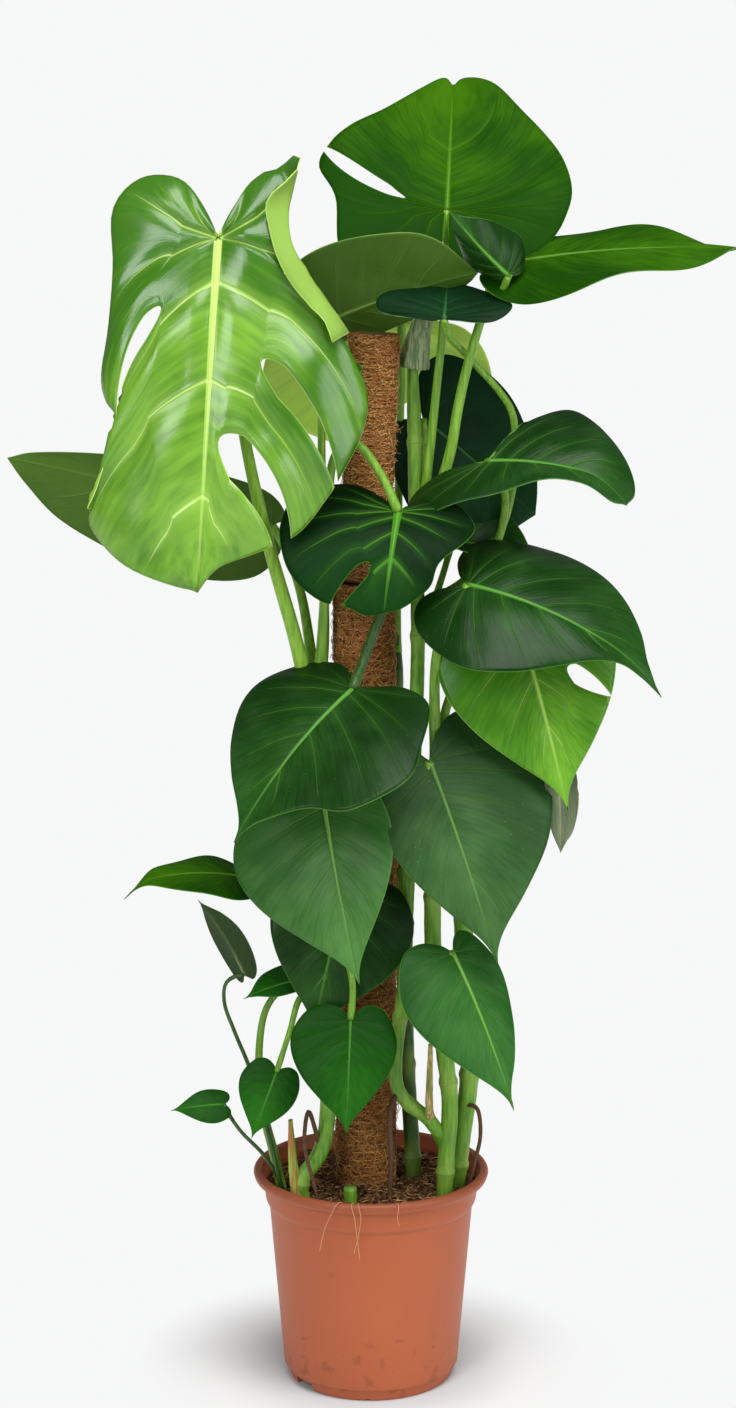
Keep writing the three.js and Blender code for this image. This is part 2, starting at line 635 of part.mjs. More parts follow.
    right: heart(90, 20, 0.08, 0.32), left: heart(90, 20, 0.08, 0.32),
    stalk: [
      [-84, -44, 180], [-98, -48, 250], [-110, -48, 300], [-122, -46, 340], [-136, -44, 375],
      [-146, -42, 405], [-144, -41, 424], [-134, -40, 431],
    ],
    radius: [2.5, 1.8],
  },
  {
    name: "leaf_low_left", material: "leaf",
    from: [-73, -52, 430], to: [-126, -64, 414], face: [-0.1, -0.5, 0.85], arch: 24, fold: 8, cup: 16,
    right: heart(57, 16), left: heart(57, 26),
    stalk: [
      [-86, -28, 180], [-96, -32, 236], [-108, -34, 289], [-112, -36, 350], [-104, -40, 398],
      [-86, -46, 422],
    ],
    radius: [5.5, 3],
  },
  {
    name: "leaf_far_left", material: "leaf", size: "large",
    from: [-98, 34, 872], to: [-360, 44, 938], face: [0, 0.97, 0.25], arch: 20, fold: 2, cup: 14,
    right: heart(272, 62, 0.08, 0.36), left: heart(272, 92, 0.08, 0.36),
    stem: ["stem_left", 700], stalk: [[-58, -12, 745], [-70, 14, 810], [-86, 30, 852]], radius: [6, 4],
  },
  {
    name: "leaf_dark_split", material: "leaf", size: "split",
    from: [26, -62, 898], to: [12, -108, 806], face: [0, -0.85, 0.5],
    arch: 60, fold: 4, cup: 14, base: 0.5,
    right: [
      [0, 0], [-18, 14], [-27, 34], [-25, 56], [0, 75], [26, 68], [54, 46], [78, 40], [100, 18],
      [108, 0],
    ],
    left: [
      [0, 0], [-18, 16], [-34, 46], [-32, 76], [-10, 102], [30, 110], [64, 103], [88, 88], [104, 62],
      [106, 36], [112, 16], [108, 0],
    ],
    leftSlits: [{ at: 0.78, from: 0.35, width: 0.035 }],
    stem: ["stem_left", 735], radius: [5, 4],
    stalk: [[-46, -30, 800], [-42, -36, 880], [-34, -38, 950], [-16, -44, 962], [8, -54, 935]],
  },
  {
    name: "leaf_withered", material: "leaf",
    from: [172, -30, 700], to: [186, -52, 560], face: [0.6, -0.8, 0.1], arch: 20, fold: 40, cup: 60,
    right: heart(144, 14, 0.04, 0.5), left: heart(144, 10, 0.04, 0.5),
    stem: ["stem_outer", 560], stalk: [[96, -8, 600], [128, -14, 668], [156, -20, 704]], radius: [3, 2],
  },
];

const COLUMNS = { split: 16, large: 10, small: 8 };
const ROWS = { split: 4, large: 3, small: 2 };
const STALK_STEP = 38;
function leafBody(leaf, extra) {
  const blade = new Blade(leaf);
  const size = leaf.size ?? "small";
  const { rightSlits = [], leftSlits = [] } = leaf;
  const marks = [...rightSlits, ...leftSlits];
  const corners = [
    ...halfBlade(blade, leaf.right, 1, COLUMNS[size], ROWS[size], rightSlits, marks),
    ...halfBlade(blade, leaf.left, -1, COLUMNS[size], ROWS[size], leftSlits, marks),
  ];
  const sheet = solid(thicken(corners, BLADE_THICKNESS + 2 * extra));
  const root = leaf.stem ? [onStem(...leaf.stem)] : [];
  const route = [...root, ...leaf.stalk, leaf.from];
  const [foot, end] = leaf.radius;
  const length = new THREE.CatmullRomCurve3(route.map((p) => new THREE.Vector3(...p))).getLength();
  const steps = Math.max(4, Math.round(length / STALK_STEP));
  const stalk = solid(bar(route, tapered(foot + extra, end + extra), 6, steps));
  return sheet.add(stalk);
}

for (const [name] of stems) addNode(name, stemBodies[name], finish.stem);

// What stands at the foot besides the leaves: dry leaf bases, a cut stub, the tip sheath, air roots
const extras = [
  ["growth_tip_sheath", "stem", [[41, 22, 1030], [44, 20, 1048], [50, 14, 1072], [60, 4, 1092]], [15, 3]],
  ["dry_sheath_left", "stem", [[-68, -68, 190], [-77, -72, 240], [-80, -70, 292]], [7.5, 2.5]],
  ["dry_sheath_right", "stem", [[60, -48, 284], [58, -60, 300], [59, -57, 366]], [6, 3]],
  ["cut_stub", "stem", [[-20, -68, 190], [-21, -70, 221]], [7, 6.5]],
  [
    "air_root_left", "root",
    [[-50, -60, 256], [-62, -70, 300], [-66, -80, 270], [-56, -86, 228], [-50, -82, 190]],
    [2.4, 1.6],
  ],
  [
    "air_root_front", "root",
    [[27, -54, 318], [19, -66, 300], [20, -66, 250], [18, -62, 190]],
    [2.8, 2.4],
  ],
  [
    "air_root_right", "root",
    [[92, -18, 290], [106, -34, 292], [110, -38, 266], [103, -36, 230], [95, -31, 190]],
    [2.2, 1.8],
  ],
];
const keepOuts = [...poleKeepOut, ...stemKeepOut];
for (const [name, material, points, [foot, end]] of extras) {
  let body = solid(bar(points, tapered(foot, end), 6, 7));
  for (const keepOut of keepOuts) body = body.subtract(keepOut);
  addNode(name, mainPiece(body), finish[material]);
  const wide = solid(bar(points, tapered(foot + GAP, end + GAP), 6, 7));
  keepOuts.push(wide);
}
const leafKeepOuts = {};
for (const leaf of leaves) {
  let body = leafBody(leaf, 0);
  for (const keepOut of keepOuts) body = body.subtract(keepOut);
  for (const keepOut of Object.values(leafKeepOuts)) body = body.subtract(keepOut);
  addNode(leaf.name, mainPiece(body), finish[leaf.material]);
  leafKeepOuts[leaf.name] = leafBody(leaf, GAP);
}

// The soil fills the pot to just under the lip, with a socket for all that stands in it
const SOIL_EDGE = 105.7;
const SOIL_LEVEL = 60;
const soilProfile = [
  [0, FLOOR + GAP],
  [FOOT_RADIUS - 2 - GAP, FLOOR + GAP],
  [wallRadius(30) - WALL - GAP, 30],
  [WALL_HEAD.radius - WALL - GAP, WALL_HEAD.height + WALL],
  [COLLAR_RADIUS - WALL - GAP, COLLAR_FOOT + WALL],
  [SOIL_EDGE, SOIL_TOP - 4],
  [SOIL_EDGE - 10, SOIL_TOP],
  [SOIL_LEVEL, SOIL_TOP + 3],
  [0, SOIL_TOP + 4],
];
let soil = solid(turned(soilProfile, POT_SEGMENTS));
for (const keepOut of [...keepOuts, ...Object.values(leafKeepOuts)]) soil = soil.subtract(keepOut);
addNode("soil", mainPiece(soil), finish.soil);

export default plant;
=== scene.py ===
"""A potted swiss cheese plant on two stacked coir poles, drawn over its CAD frame.

Sizes are in millimetres; a piece's mesh is scaled to metres as the piece is finished. The front
faces -Y.
"""

import math
import random

import bmesh
import bpy
from mathutils import Matrix, Vector, noise


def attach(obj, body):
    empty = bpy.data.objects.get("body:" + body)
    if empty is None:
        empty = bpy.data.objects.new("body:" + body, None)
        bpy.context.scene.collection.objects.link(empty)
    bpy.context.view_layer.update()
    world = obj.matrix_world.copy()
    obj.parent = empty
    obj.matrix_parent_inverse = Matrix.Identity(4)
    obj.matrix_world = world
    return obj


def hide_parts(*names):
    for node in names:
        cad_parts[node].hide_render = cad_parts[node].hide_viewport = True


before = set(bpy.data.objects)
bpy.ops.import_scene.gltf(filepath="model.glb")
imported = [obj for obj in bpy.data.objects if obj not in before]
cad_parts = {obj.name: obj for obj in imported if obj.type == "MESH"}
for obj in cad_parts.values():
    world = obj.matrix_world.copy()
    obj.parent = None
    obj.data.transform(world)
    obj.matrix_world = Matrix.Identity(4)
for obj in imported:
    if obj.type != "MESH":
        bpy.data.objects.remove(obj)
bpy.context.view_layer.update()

# Nursery pot. A thin injection-moulded pot in matt terracotta-brown plastic: a foot ring with
# drain slots, a rounded shoulder, a tapered wall, a wider collar and a rolled lip. It is the base
# that all the rest stands in, splashed with soil from potting.
MM = 0.001


class Signal:
    """A number that a finish works out over a surface, so that sums of it build Math nodes."""

    def __init__(self, finish, socket):
        self.finish = finish
        self.socket = socket

    def math(self, operation, *others):
        return self.finish.node("Math", {"operation": operation}, dict(enumerate((self, *others))))

    def __add__(self, other):
        return self.math("ADD", other)

    def __sub__(self, other):
        return self.math("SUBTRACT", other)

    def __mul__(self, other):
        return self.math("MULTIPLY", other)

    def __truediv__(self, other):
        return self.math("DIVIDE", other)

    def __rsub__(self, other):
        return (self * -1) + other

    __radd__ = __add__
    __rmul__ = __mul__


class Finish:
    """A material in the making, around one Principled shader."""

    def __init__(self, name, **uniform):
        self.material = bpy.data.materials.new(name)
        self.material.use_nodes = True
        self.tree = self.material.node_tree
        self.shader = self.tree.nodes["Principled BSDF"]
        self.set(**uniform)

    def node(self, kind, settings={}, inputs={}, output=0):
        """A node of a kind, its settings made first, then its inputs set or linked."""
        made = self.tree.nodes.new("ShaderNode" + kind)
        for setting, value in settings.items():
            setattr(made, setting, value)
        for socket, value in inputs.items():
            self.feed(made.inputs[socket], value)
        return Signal(self, made.outputs[output])

    def feed(self, socket, value):
        if isinstance(value, Signal):
            self.tree.links.new(value.socket, socket)
        else:
            socket.default_value = value

    def here(self, stretch=(1, 1, 1)):
        """The place on the piece, in metres, stretched along its axes."""
        place = self.node("TexCoord", output="Object")
        return self.node("Mapping", {}, {"Vector": place, "Scale": stretch})

    def part(self, vector, axis):
        """One part of a vector: its X, Y or Z."""
        return self.node("SeparateXYZ", {}, {0: vector}, output=axis)

    def cloud(self, size, detail=3, stretch=(1, 1, 1), where=None):
        """Soft noise from 0 to 1, whose patches are about size millimetres across."""
        inputs = {"Vector": where or self.here(stretch), "Scale": 1 / (size * MM), "Detail": detail}
        return self.node("TexNoise", {}, inputs)

    def specks(self, size, radius):
        """1 inside round specks a radius wide, one in each cell of size millimetres, else 0."""
        inputs = {"Vector": self.here(), "Scale": 1 / (size * MM)}
        distance = self.node("TexVoronoi", {}, inputs, output="Distance")
        return 1 - self.step(distance, 0.6 * radius / size, radius / size)

    def step(self, value, low, high):
        """A smooth step from 0 below low to 1 above high."""
        inputs = {"Value": value, "From Min": low, "From Max": high}
        return self.node("MapRange", {"interpolation_type": "SMOOTHSTEP"}, inputs)

    def mix(self, share, first, second):
        """The first colour, with a share of the second over it."""
        return self.node("Mix", {"data_type": "RGBA"}, {0: share, 6: first, 7: second}, output=2)

    def layered(self, colour, *covers):
        """A colour with others laid over it, each a share and its screen values."""
        for share, tint in covers:
            colour = self.mix(share, colour, paint(*tint))
        return colour

    def bump(self, height, depth):
        """A fine relief: height from 0 to 1 stands depth millimetres tall."""
        inputs = {"Height": height, "Distance": depth * MM}
        self.feed(self.shader.inputs["Normal"], self.node("Bump", {}, inputs))

    def set(self, **sockets):
        """Sets or links inputs of the shader by their names."""
        for socket, value in sockets.items():
            title = socket.replace("_", " ").title().replace("Ior", "IOR")
            self.feed(self.shader.inputs[title], value)


def paint(red, green, blue):
    """A colour given by its screen values, 0 to 255, as the light that a shader works in."""
    shares = [value / 255 for value in (red, green, blue)]
    return (*[s / 12.92 if s < 0.04 else ((s + 0.055) / 1.055) ** 2.4 for s in shares], 1)


def settle(thing, node, slot):
    """The piece moves with the plant, and stands for its CAD node."""
    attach(thing, "root")
    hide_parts(node)


def placed(name, data):
    """A new object that holds the data, in the scene."""
    made = bpy.data.objects.new(name, data)
    bpy.context.collection.objects.link(made)
    return made


def applied(thing):
    """A mesh of an object with its modifiers or its thickness applied."""
    bpy.context.view_layer.update()
    graph = bpy.context.evaluated_depsgraph_get()
    return bpy.data.meshes.new_from_object(thing.evaluated_get(graph))


def meshed(name, bm, finishes=()):
    """A mesh in metres from a shape in millimetres."""
    bmesh.ops.scale(bm, vec=(MM, MM, MM), verts=bm.verts)
    mesh = bpy.data.meshes.new(name)
    bm.to_mesh(mesh)
    bm.free()
    for finish in finishes:
        mesh.materials.append(finish.material)
    return mesh


def piece(name, bm, finishes, node, slot):
    """A finished piece from a shape in millimetres."""
    made = placed(name, meshed(name, bm, finishes))
    made.data.shade_smooth()
    settle(made, node, slot)
    return made


def weld(bm, gap=0.01):
    """Joins the corners that share a spot."""
    bmesh.ops.remove_doubles(bm, verts=bm.verts, dist=gap)


def rounded(corners):
    """A profile of [radius, height, rounding] corners, each turned into an arc of five points."""
    line = []
    for before, corner, after in zip(corners, corners[1:], corners[2:]):
        spot = Vector(corner[:2])
        back, on = Vector(before[:2]) - spot, Vector(after[:2]) - spot
        reach = min(corner[2], back.length / 2.1, on.length / 2.1)
        start, end = spot + back.normalized() * reach, spot + on.normalized() * reach
        for k in range(5):
            s = k / 4
            line.append(start * (1 - s) ** 2 + spot * (2 * s * (1 - s)) + end * s**2)
    return [Vector(corners[0][:2]), *line, Vector(corners[-1][:2])]


def turned(bm, line, steps):
    """The line turned once round +Z, closed at its seam and on the axis."""
    verts = [bm.verts.new((point.x, 0, point.y)) for point in line]
    edges = [bm.edges.new(pair) for pair in zip(verts, verts[1:])]
    bmesh.ops.spin(
        bm, geom=verts + edges, axis=(0, 0, 1), cent=(0, 0, 0), angle=2 * math.pi, steps=steps,
        use_merge=True,
    )
    weld(bm)
    bmesh.ops.recalc_face_normals(bm, faces=bm.faces)


POT_HEIGHT, RIM_RADIUS, WALL = 220, 120, 2
FOOT_RADIUS, FOOT_RING, FOOT_STEP, POT_FLOOR = 84, 8, 11, 5
SHOULDER_HEIGHT, SHOULDER_RADIUS = 16, 89.5
COLLAR_FOOT, COLLAR_RADIUS = 188, 107
WALL_HEAD, HEAD_RADIUS = COLLAR_FOOT - 5, 103.5
LIP_FOOT = POT_HEIGHT - 11


def wall_radius(height):
    """The outside of the tapered wall, which widens evenly from the shoulder to the collar."""
    rise = (height - SHOULDER_HEIGHT) / (WALL_HEAD - SHOULDER_HEIGHT)
    return SHOULDER_RADIUS + rise * (HEAD_RADIUS - SHOULDER_RADIUS)


pot_corners = [
    (0, WALL, 0), (FOOT_RADIUS - FOOT_RING, WALL, 1), (FOOT_RADIUS - FOOT_RING, 0, 0.6),
    (FOOT_RADIUS - 1, 0, 2.4), (FOOT_RADIUS + 1.2, FOOT_STEP - 0.6, 0.6),
    (FOOT_RADIUS + 2, FOOT_STEP + 0.6, 0.6), (SHOULDER_RADIUS - 0.4, FOOT_STEP + 2, 5),
    (wall_radius(100), 100, 8), (HEAD_RADIUS, WALL_HEAD, 1.2),
    (COLLAR_RADIUS - 0.4, COLLAR_FOOT - 1.5, 1.4), (COLLAR_RADIUS + 0.4, COLLAR_FOOT + 2, 1),
    (COLLAR_RADIUS + 2.4, LIP_FOOT - 0.4, 0.8), (RIM_RADIUS - 2.4, LIP_FOOT, 2.5),
    (RIM_RADIUS, POT_HEIGHT - 4, 5), (RIM_RADIUS - 3, POT_HEIGHT, 3),
    (RIM_RADIUS - 8.6, POT_HEIGHT - 0.5, 3), (COLLAR_RADIUS + 0.4, LIP_FOOT - 2, 3),
    (COLLAR_RADIUS - WALL, COLLAR_FOOT + WALL, 2), (HEAD_RADIUS - WALL, WALL_HEAD + WALL, 2),
    (wall_radius(30) - WALL, 30, 3), (FOOT_RADIUS - 2, POT_FLOOR, 3), (0, POT_FLOOR, 0),
]
pot_plastic = Finish("terracotta plastic", specular_ior_level=0.35)
height = pot_plastic.part(pot_plastic.here(), "Z")
patches = pot_plastic.cloud(60, detail=2)
grain = pot_plastic.cloud(1.6, detail=2)
splash = pot_plastic.cloud(14, detail=5) - pot_plastic.step(height, 0.02, 0.09) * 0.12
splash = pot_plastic.step(splash, 0.56, 0.64) * pot_plastic.cloud(2.2, detail=2)
dust = pot_plastic.specks(11, 0.7) * pot_plastic.step(pot_plastic.cloud(30), 0.5, 0.6)
# The lip and the band just under it are darker.
under_lip, lip = (LIP_FOOT - 2) * MM, (LIP_FOOT + 8) * MM
lip_darkening = pot_plastic.step(height, under_lip, lip) * (pot_plastic.cloud(3, detail=4) * 0.6 + 0.4)
clay = pot_plastic.layered(
    paint(175, 90, 53), (patches, (185, 98, 60)), (splash * 0.75, (126, 72, 50)),
    (lip_darkening * 0.8, (124, 66, 44)), (dust * 0.8, (96, 60, 44)),
)
pot_plastic.set(base_color=clay, roughness=0.4 + patches * 0.12 + splash * 0.2)
pot_plastic.bump(grain * 0.6 + splash, 0.12)

bm = bmesh.new()
turned(bm, rounded(pot_corners), 128)
pot = piece("nursery_pot_moulding", bm, [pot_plastic], "nursery_pot", "pot")

# Each cut's width, height and angle round the foot: two drain slots and two nicks.
FOOT_CUTS = [(28, 8, 216), (28, 8, 36), (5, 2, 268), (5, 2, 88)]
CUT_DEPTH = 16
bm = bmesh.new()
for width, tall, angle in FOOT_CUTS:
    turn = Matrix.Rotation(math.radians(angle), 4, "Z")
    spot = turn @ Matrix.Translation((FOOT_RADIUS - 1, 0, (tall - 1) / 2))
    block = bmesh.ops.create_cube(bm, size=1, matrix=spot)["verts"]
    bmesh.ops.scale(bm, vec=(CUT_DEPTH, width, tall + 1), verts=block, space=spot.inverted())
    edges = {edge for vert in block for edge in vert.link_edges}
    head = [edge for edge in edges if all(vert.co.z > 0 for vert in edge.verts)]
    bmesh.ops.bevel(
        bm, geom=head, offset=tall / 4, segments=4, profile=0.5, affect="EDGES", material=-1,
    )
cutter = placed("drain slots", meshed("drain slots", bm))
cut = pot.modifiers.new("drain slots", "BOOLEAN")
cut.operation = "DIFFERENCE"
cut.object = cutter
pot_mesh = applied(pot)
pot.modifiers.clear()
pot.data = pot_mesh
pot_mesh.set_sharp_from_angle(angle=math.radians(40))
bpy.data.objects.remove(cutter)

# Soil. A peat and coir mix filled to just under the lip, crumbly on top, with clods, chips of
# bark and pale coir fibres lying loose on it, a few of them over the lip. It fills the pot and
# holds the poles and stems.
SOIL_TOP, SOIL_EDGE = 203, 105.7
CROWN_HEIGHT, CROWN_RADIUS, FALL = 3, 60, 4


def sheet(bm, across, along, place, layout=None, flip=False, material=0):
    """A grid of faces bent to shape: place(a, b) is the corner a cells across and b along."""
    grid = bmesh.ops.create_grid(bm, x_segments=across, y_segments=along, size=0.5)["verts"]
    spots = {v: (round((v.co.x + 0.5) * across), round((v.co.y + 0.5) * along)) for v in grid}
    faces = list({face for vert in grid for face in vert.link_faces})
    if layout:
        uv = bm.loops.layers.uv.verify()
    for face in faces:
        face.material_index = material
        if layout:
            for loop in face.loops:
                loop[uv].uv = layout(*spots[loop.vert])
    for vert, (a, b) in spots.items():
        vert.co = place(a, b)
    if flip:
        bmesh.ops.reverse_faces(bm, faces=faces)
    return spots


LUMP_SIZE, LUMP_HEIGHT = 18, 4.2
CRUMB_SIZE, CRUMB_HEIGHT = 4.2, 1.8


def crumbs(x, y):
    """How far the crumbly top stands up or down at a place."""
    lump = noise.fractal(Vector((x, y, 3)) / LUMP_SIZE, 0.9, 2.2, 3)
    crumb = noise.noise(Vector((x, y, 8)) / CRUMB_SIZE)
    return LUMP_HEIGHT * lump + CRUMB_HEIGHT * crumb


def soil_height(radius):
    """The top's height: level inside, lower at the wall, before its crumbs."""
    outward = max(0, (radius - CROWN_RADIUS) / (SOIL_EDGE - CROWN_RADIUS))
    return SOIL_TOP + CROWN_HEIGHT - FALL * outward**2


TOP_RINGS, SOIL_SECTORS = 46, 120
# The side of the filling: radius and height from under the collar to the middle of the pot's floor.
SOIL_SIDE = [(104.6, 190), (101.1, 185), (88.2, 30), (81.6, 5.4), (0, 5.4)]


def soil_corner(sector, ring):
    """From the middle of the top out to the wall, down it, and in over the pot's floor."""
    angle = 2 * math.pi * sector / SOIL_SECTORS
    if ring <= TOP_RINGS:
        radius = SOIL_EDGE * ring / TOP_RINGS
        x, y = radius * math.cos(angle), radius * math.sin(angle)
        return Vector((x, y, soil_height(radius) + crumbs(x, y) * (ring < TOP_RINGS)))
    radius, z = SOIL_SIDE[ring - TOP_RINGS - 1]
    return Vector((radius * math.cos(angle), radius * math.sin(angle), z))


soil_mix = Finish("potting soil", specular_ior_level=0.15)
lumps = soil_mix.cloud(9, detail=5)
crumbled = soil_mix.step(soil_mix.cloud(2.5), 0.54, 0.66)
peat = soil_mix.layered(
    paint(38, 25, 15), (soil_mix.step(lumps, 0.35, 0.65), (98, 68, 42)),
    (crumbled * 0.6, (142, 104, 66)),
)
soil_mix.set(base_color=peat, roughness=0.86 + lumps * 0.12)
soil_mix.bump(soil_mix.cloud(1.4, detail=5), 0.9)


def grained(name, shine, grain, dark, pale, rough, relief, band=None):
    """A finish with lines of grain, which its colour, its roughness and its relief all follow."""
    skin = Finish(name, specular_ior_level=shine)
    size, detail, squeeze = grain
    lines = skin.cloud(size, detail=detail, stretch=(1, 1, squeeze))
    share = skin.step(lines, *band) if band else lines
    colour = skin.mix(share, paint(*dark), paint(*pale))
    skin.set(base_color=colour, roughness=rough[0] + lines * rough[1])
    skin.bump(lines, relief)
    return skin


bark = grained("bark chips", 0.2, (6, 4, 4), (58, 36, 24), (128, 86, 58), (0.75, 0.2), 0.6)

chance = random.Random(7)
bm = bmesh.new()
sheet(bm, SOIL_SECTORS, TOP_RINGS + len(SOIL_SIDE), soil_corner, flip=True)
weld(bm, 0.02)
# How many of each lie on the soil, and how far out from its middle.
CLODS, CLOD_EDGE = 900, 103
CHIPS, CHIP_EDGE = 70, 98
LOOSE_FIBRES, FIBRE_EDGE = 620, 100
ANY_WAY = 6.3


def scattered(edge):
    """A place on the soil, evenly spread, with its height."""
    angle, radius = chance.uniform(0, 2 * math.pi), edge * math.sqrt(chance.random())
    x, y = radius * math.cos(angle), radius * math.sin(angle)
    return Vector((x, y, soil_height(radius) + crumbs(x, y)))


for _ in range(CLODS):
    size = 0.8 + 3.4 * chance.random() ** 3
    turn = Matrix.Rotation(chance.uniform(0, ANY_WAY), 4, (chance.random(), chance.random(), 1))
    shape = Matrix.Diagonal((1.3, 1, 0.7, 1))
    place = Matrix.Translation(scattered(CLOD_EDGE) + Vector((0, 0, size * 0.3)))
    clod = bmesh.ops.create_icosphere(bm, subdivisions=1, radius=size, matrix=place @ turn @ shape)
    for vert in clod["verts"]:
        vert.co += Vector([chance.uniform(-0.2, 0.2) * size for _ in range(3)])
for _ in range(CHIPS):
    turn = Matrix.Rotation(chance.uniform(0, ANY_WAY), 4, "Z")
    turn @= Matrix.Rotation(chance.uniform(-0.5, 0.5), 4, "X")
    size = Matrix.Diagonal((chance.uniform(4, 13), chance.uniform(2, 5), chance.uniform(1, 2.4), 1))
    place = Matrix.Translation(scattered(CHIP_EDGE) + Vector((0, 0, 1.4)))
    chip = bmesh.ops.create_cube(bm, size=1, matrix=place @ turn @ size)["verts"]
    for vert in chip:
        vert.co += Vector([chance.uniform(-0.7, 0.7) for _ in range(3)])
    for face in {face for vert in chip for face in vert.link_faces}:
        face.material_index = 1
piece("soil_filling", bm, [soil_mix, bark], "soil", "soil")


TIP_SHARE = 0.4


def strands(name, lines, thickness, finish, node, slot):
    """Many thin fibres, each a line of points in millimetres, tapered at both ends, as one mesh."""
    curve = bpy.data.curves.new(name, "CURVE")
    curve.dimensions = "3D"
    curve.bevel_depth = thickness / 2 * MM
    curve.bevel_resolution = 0
    curve.use_fill_caps = True
    for line in lines:
        spline = curve.splines.new("POLY")
        spline.points.add(len(line) - 1)
        spline.points.foreach_set("co", [value for point in line for value in (*(point * MM), 1)])
        spline.points[0].radius = spline.points[-1].radius = TIP_SHARE
    holder = placed(name, curve)
    mesh = applied(holder)
    bpy.data.objects.remove(holder)
    mesh.materials.clear()
    mesh.materials.append(finish.material)
    settle(placed(name, mesh), node, slot)


def hermite(start, end, leave, reach, s):
    """The point a share s of the way along a curve that has a given speed at each end."""
    ease = 3 * s**2 - 2 * s**3
    return start * (1 - ease) + end * ease + leave * (s**3 - 2 * s**2 + s) + reach * (s**3 - s**2)


def smooth_line(points, steps=6):
    """More points along a line, on a smooth curve through the given ones."""
    ends = [points[0], *points, points[-1]]
    return [
        hermite(b, c, (c - a) / 2, (d - b) / 2, k / steps)
        for a, b, c, d in zip(ends, ends[1:], ends[2:], ends[3:]) for k in range(steps)
    ] + [points[-1]]


pale_fibre = Finish("loose coir fibre", roughness=0.8, specular_ior_level=0.2)
shade = pale_fibre.step(pale_fibre.cloud(7, detail=1), 0.35, 0.65)
pale_fibre.set(base_color=pale_fibre.mix(shade, paint(112, 76, 44), paint(214, 170, 108)))
lines = []
for _ in range(LOOSE_FIBRES):
    spot = scattered(FIBRE_EDGE) + Vector((0, 0, 1.6))
    heading, reach = chance.uniform(0, ANY_WAY), chance.uniform(4, 17)
    line = []
    for step in range(5):
        line.append(spot + Vector((0, 0, 1.5 * math.sin(step * 0.8))))
        heading += chance.uniform(-0.7, 0.7)
        spot = spot + Vector((math.cos(heading), math.sin(heading), 0)) * reach / 4
    lines.append(line)
OVER_THE_LIP = [
    [(-20, -98, 205), (-28, -109, 219), (-34, -117, 220), (-40, -116, 208), (-46, -112, 192),
     (-51, -108, 168)],
    [(-14, -102, 205), (-17, -112, 220), (-19, -120, 219), (-16, -119, 205), (-14, -113, 186),
     (-11, -110, 160)],
    [(-12, -102, 205), (-13, -112, 220), (-12, -120.6, 219), (-10, -120, 206), (-13, -113, 184),
     (-17, -110, 166)],
    [(20, -101, 205), (24, -112, 219), (27, -119, 219), (26, -118, 206), (28, -112, 196)],
]
LYING_THICKNESS, HANGING_THICKNESS = 0.7, 0.8
strands("soil_fibres", lines, LYING_THICKNESS, pale_fibre, "soil", "soil")
hanging = [smooth_line([Vector(point) for point in line]) for line in OVER_THE_LIP]
gold_fibre = Finish("hanging coir fibre", base_color=paint(206, 156, 100), roughness=0.7)
strands("rim_fibres", hanging, HANGING_THICKNESS, gold_fibre, "soil", "soil")

# Coir poles. Two plastic pipes, one plugged into the other, each wrapped in a mat of coconut
# fibre that a thin thread winds tight. The wrap's stray fibres curl out all round it.
LOWER_FOOT, LOWER_HEAD = Vector((-4, 0, 14)), Vector((-7, 0, 821))
UPPER_HEAD = Vector((3, 0, 1064))
UPPER_FOOT = LOWER_HEAD + (UPPER_HEAD - LOWER_HEAD).normalized() * 1.5

coir_mat = Finish("coir mat", specular_ior_level=0.15)
weave = coir_mat.cloud(5, detail=5, stretch=(1, 1, 2.6))
hairs = coir_mat.cloud(0.9, detail=3, stretch=(1, 1, 3))
coir = coir_mat.layered(
    paint(58, 30, 12), (coir_mat.step(weave, 0.36, 0.6), (156, 100, 46)),
    (coir_mat.step(hairs, 0.52, 0.66) * 0.6, (214, 158, 88)),
)
coir_mat.set(base_color=coir, roughness=0.84 + hairs * 0.14)
coir_mat.bump(hairs + weave * 0.7, 1.2)

coir_fibre = Finish("coir fibre", roughness=0.72, specular_ior_level=0.3)
tuft = coir_fibre.step(coir_fibre.cloud(1.3, detail=2), 0.36, 0.66)
rust = coir_fibre.step(coir_fibre.cloud(22, detail=2), 0.4, 0.7)
coir_fibre.set(
    base_color=coir_fibre.layered(
        paint(124, 74, 30), (tuft, (240, 190, 118)), (rust * 0.4, (166, 92, 44))
    )
)

SIDES, MAT_ROW, RIDGE_SPACING = 72, 4.5, 9
FIBRE_STEPS, FIBRE_THICKNESS, STRAY_SHARE = 6, 0.62, 0.05
THREAD_PITCH, THREAD_SIDES = 8, 24


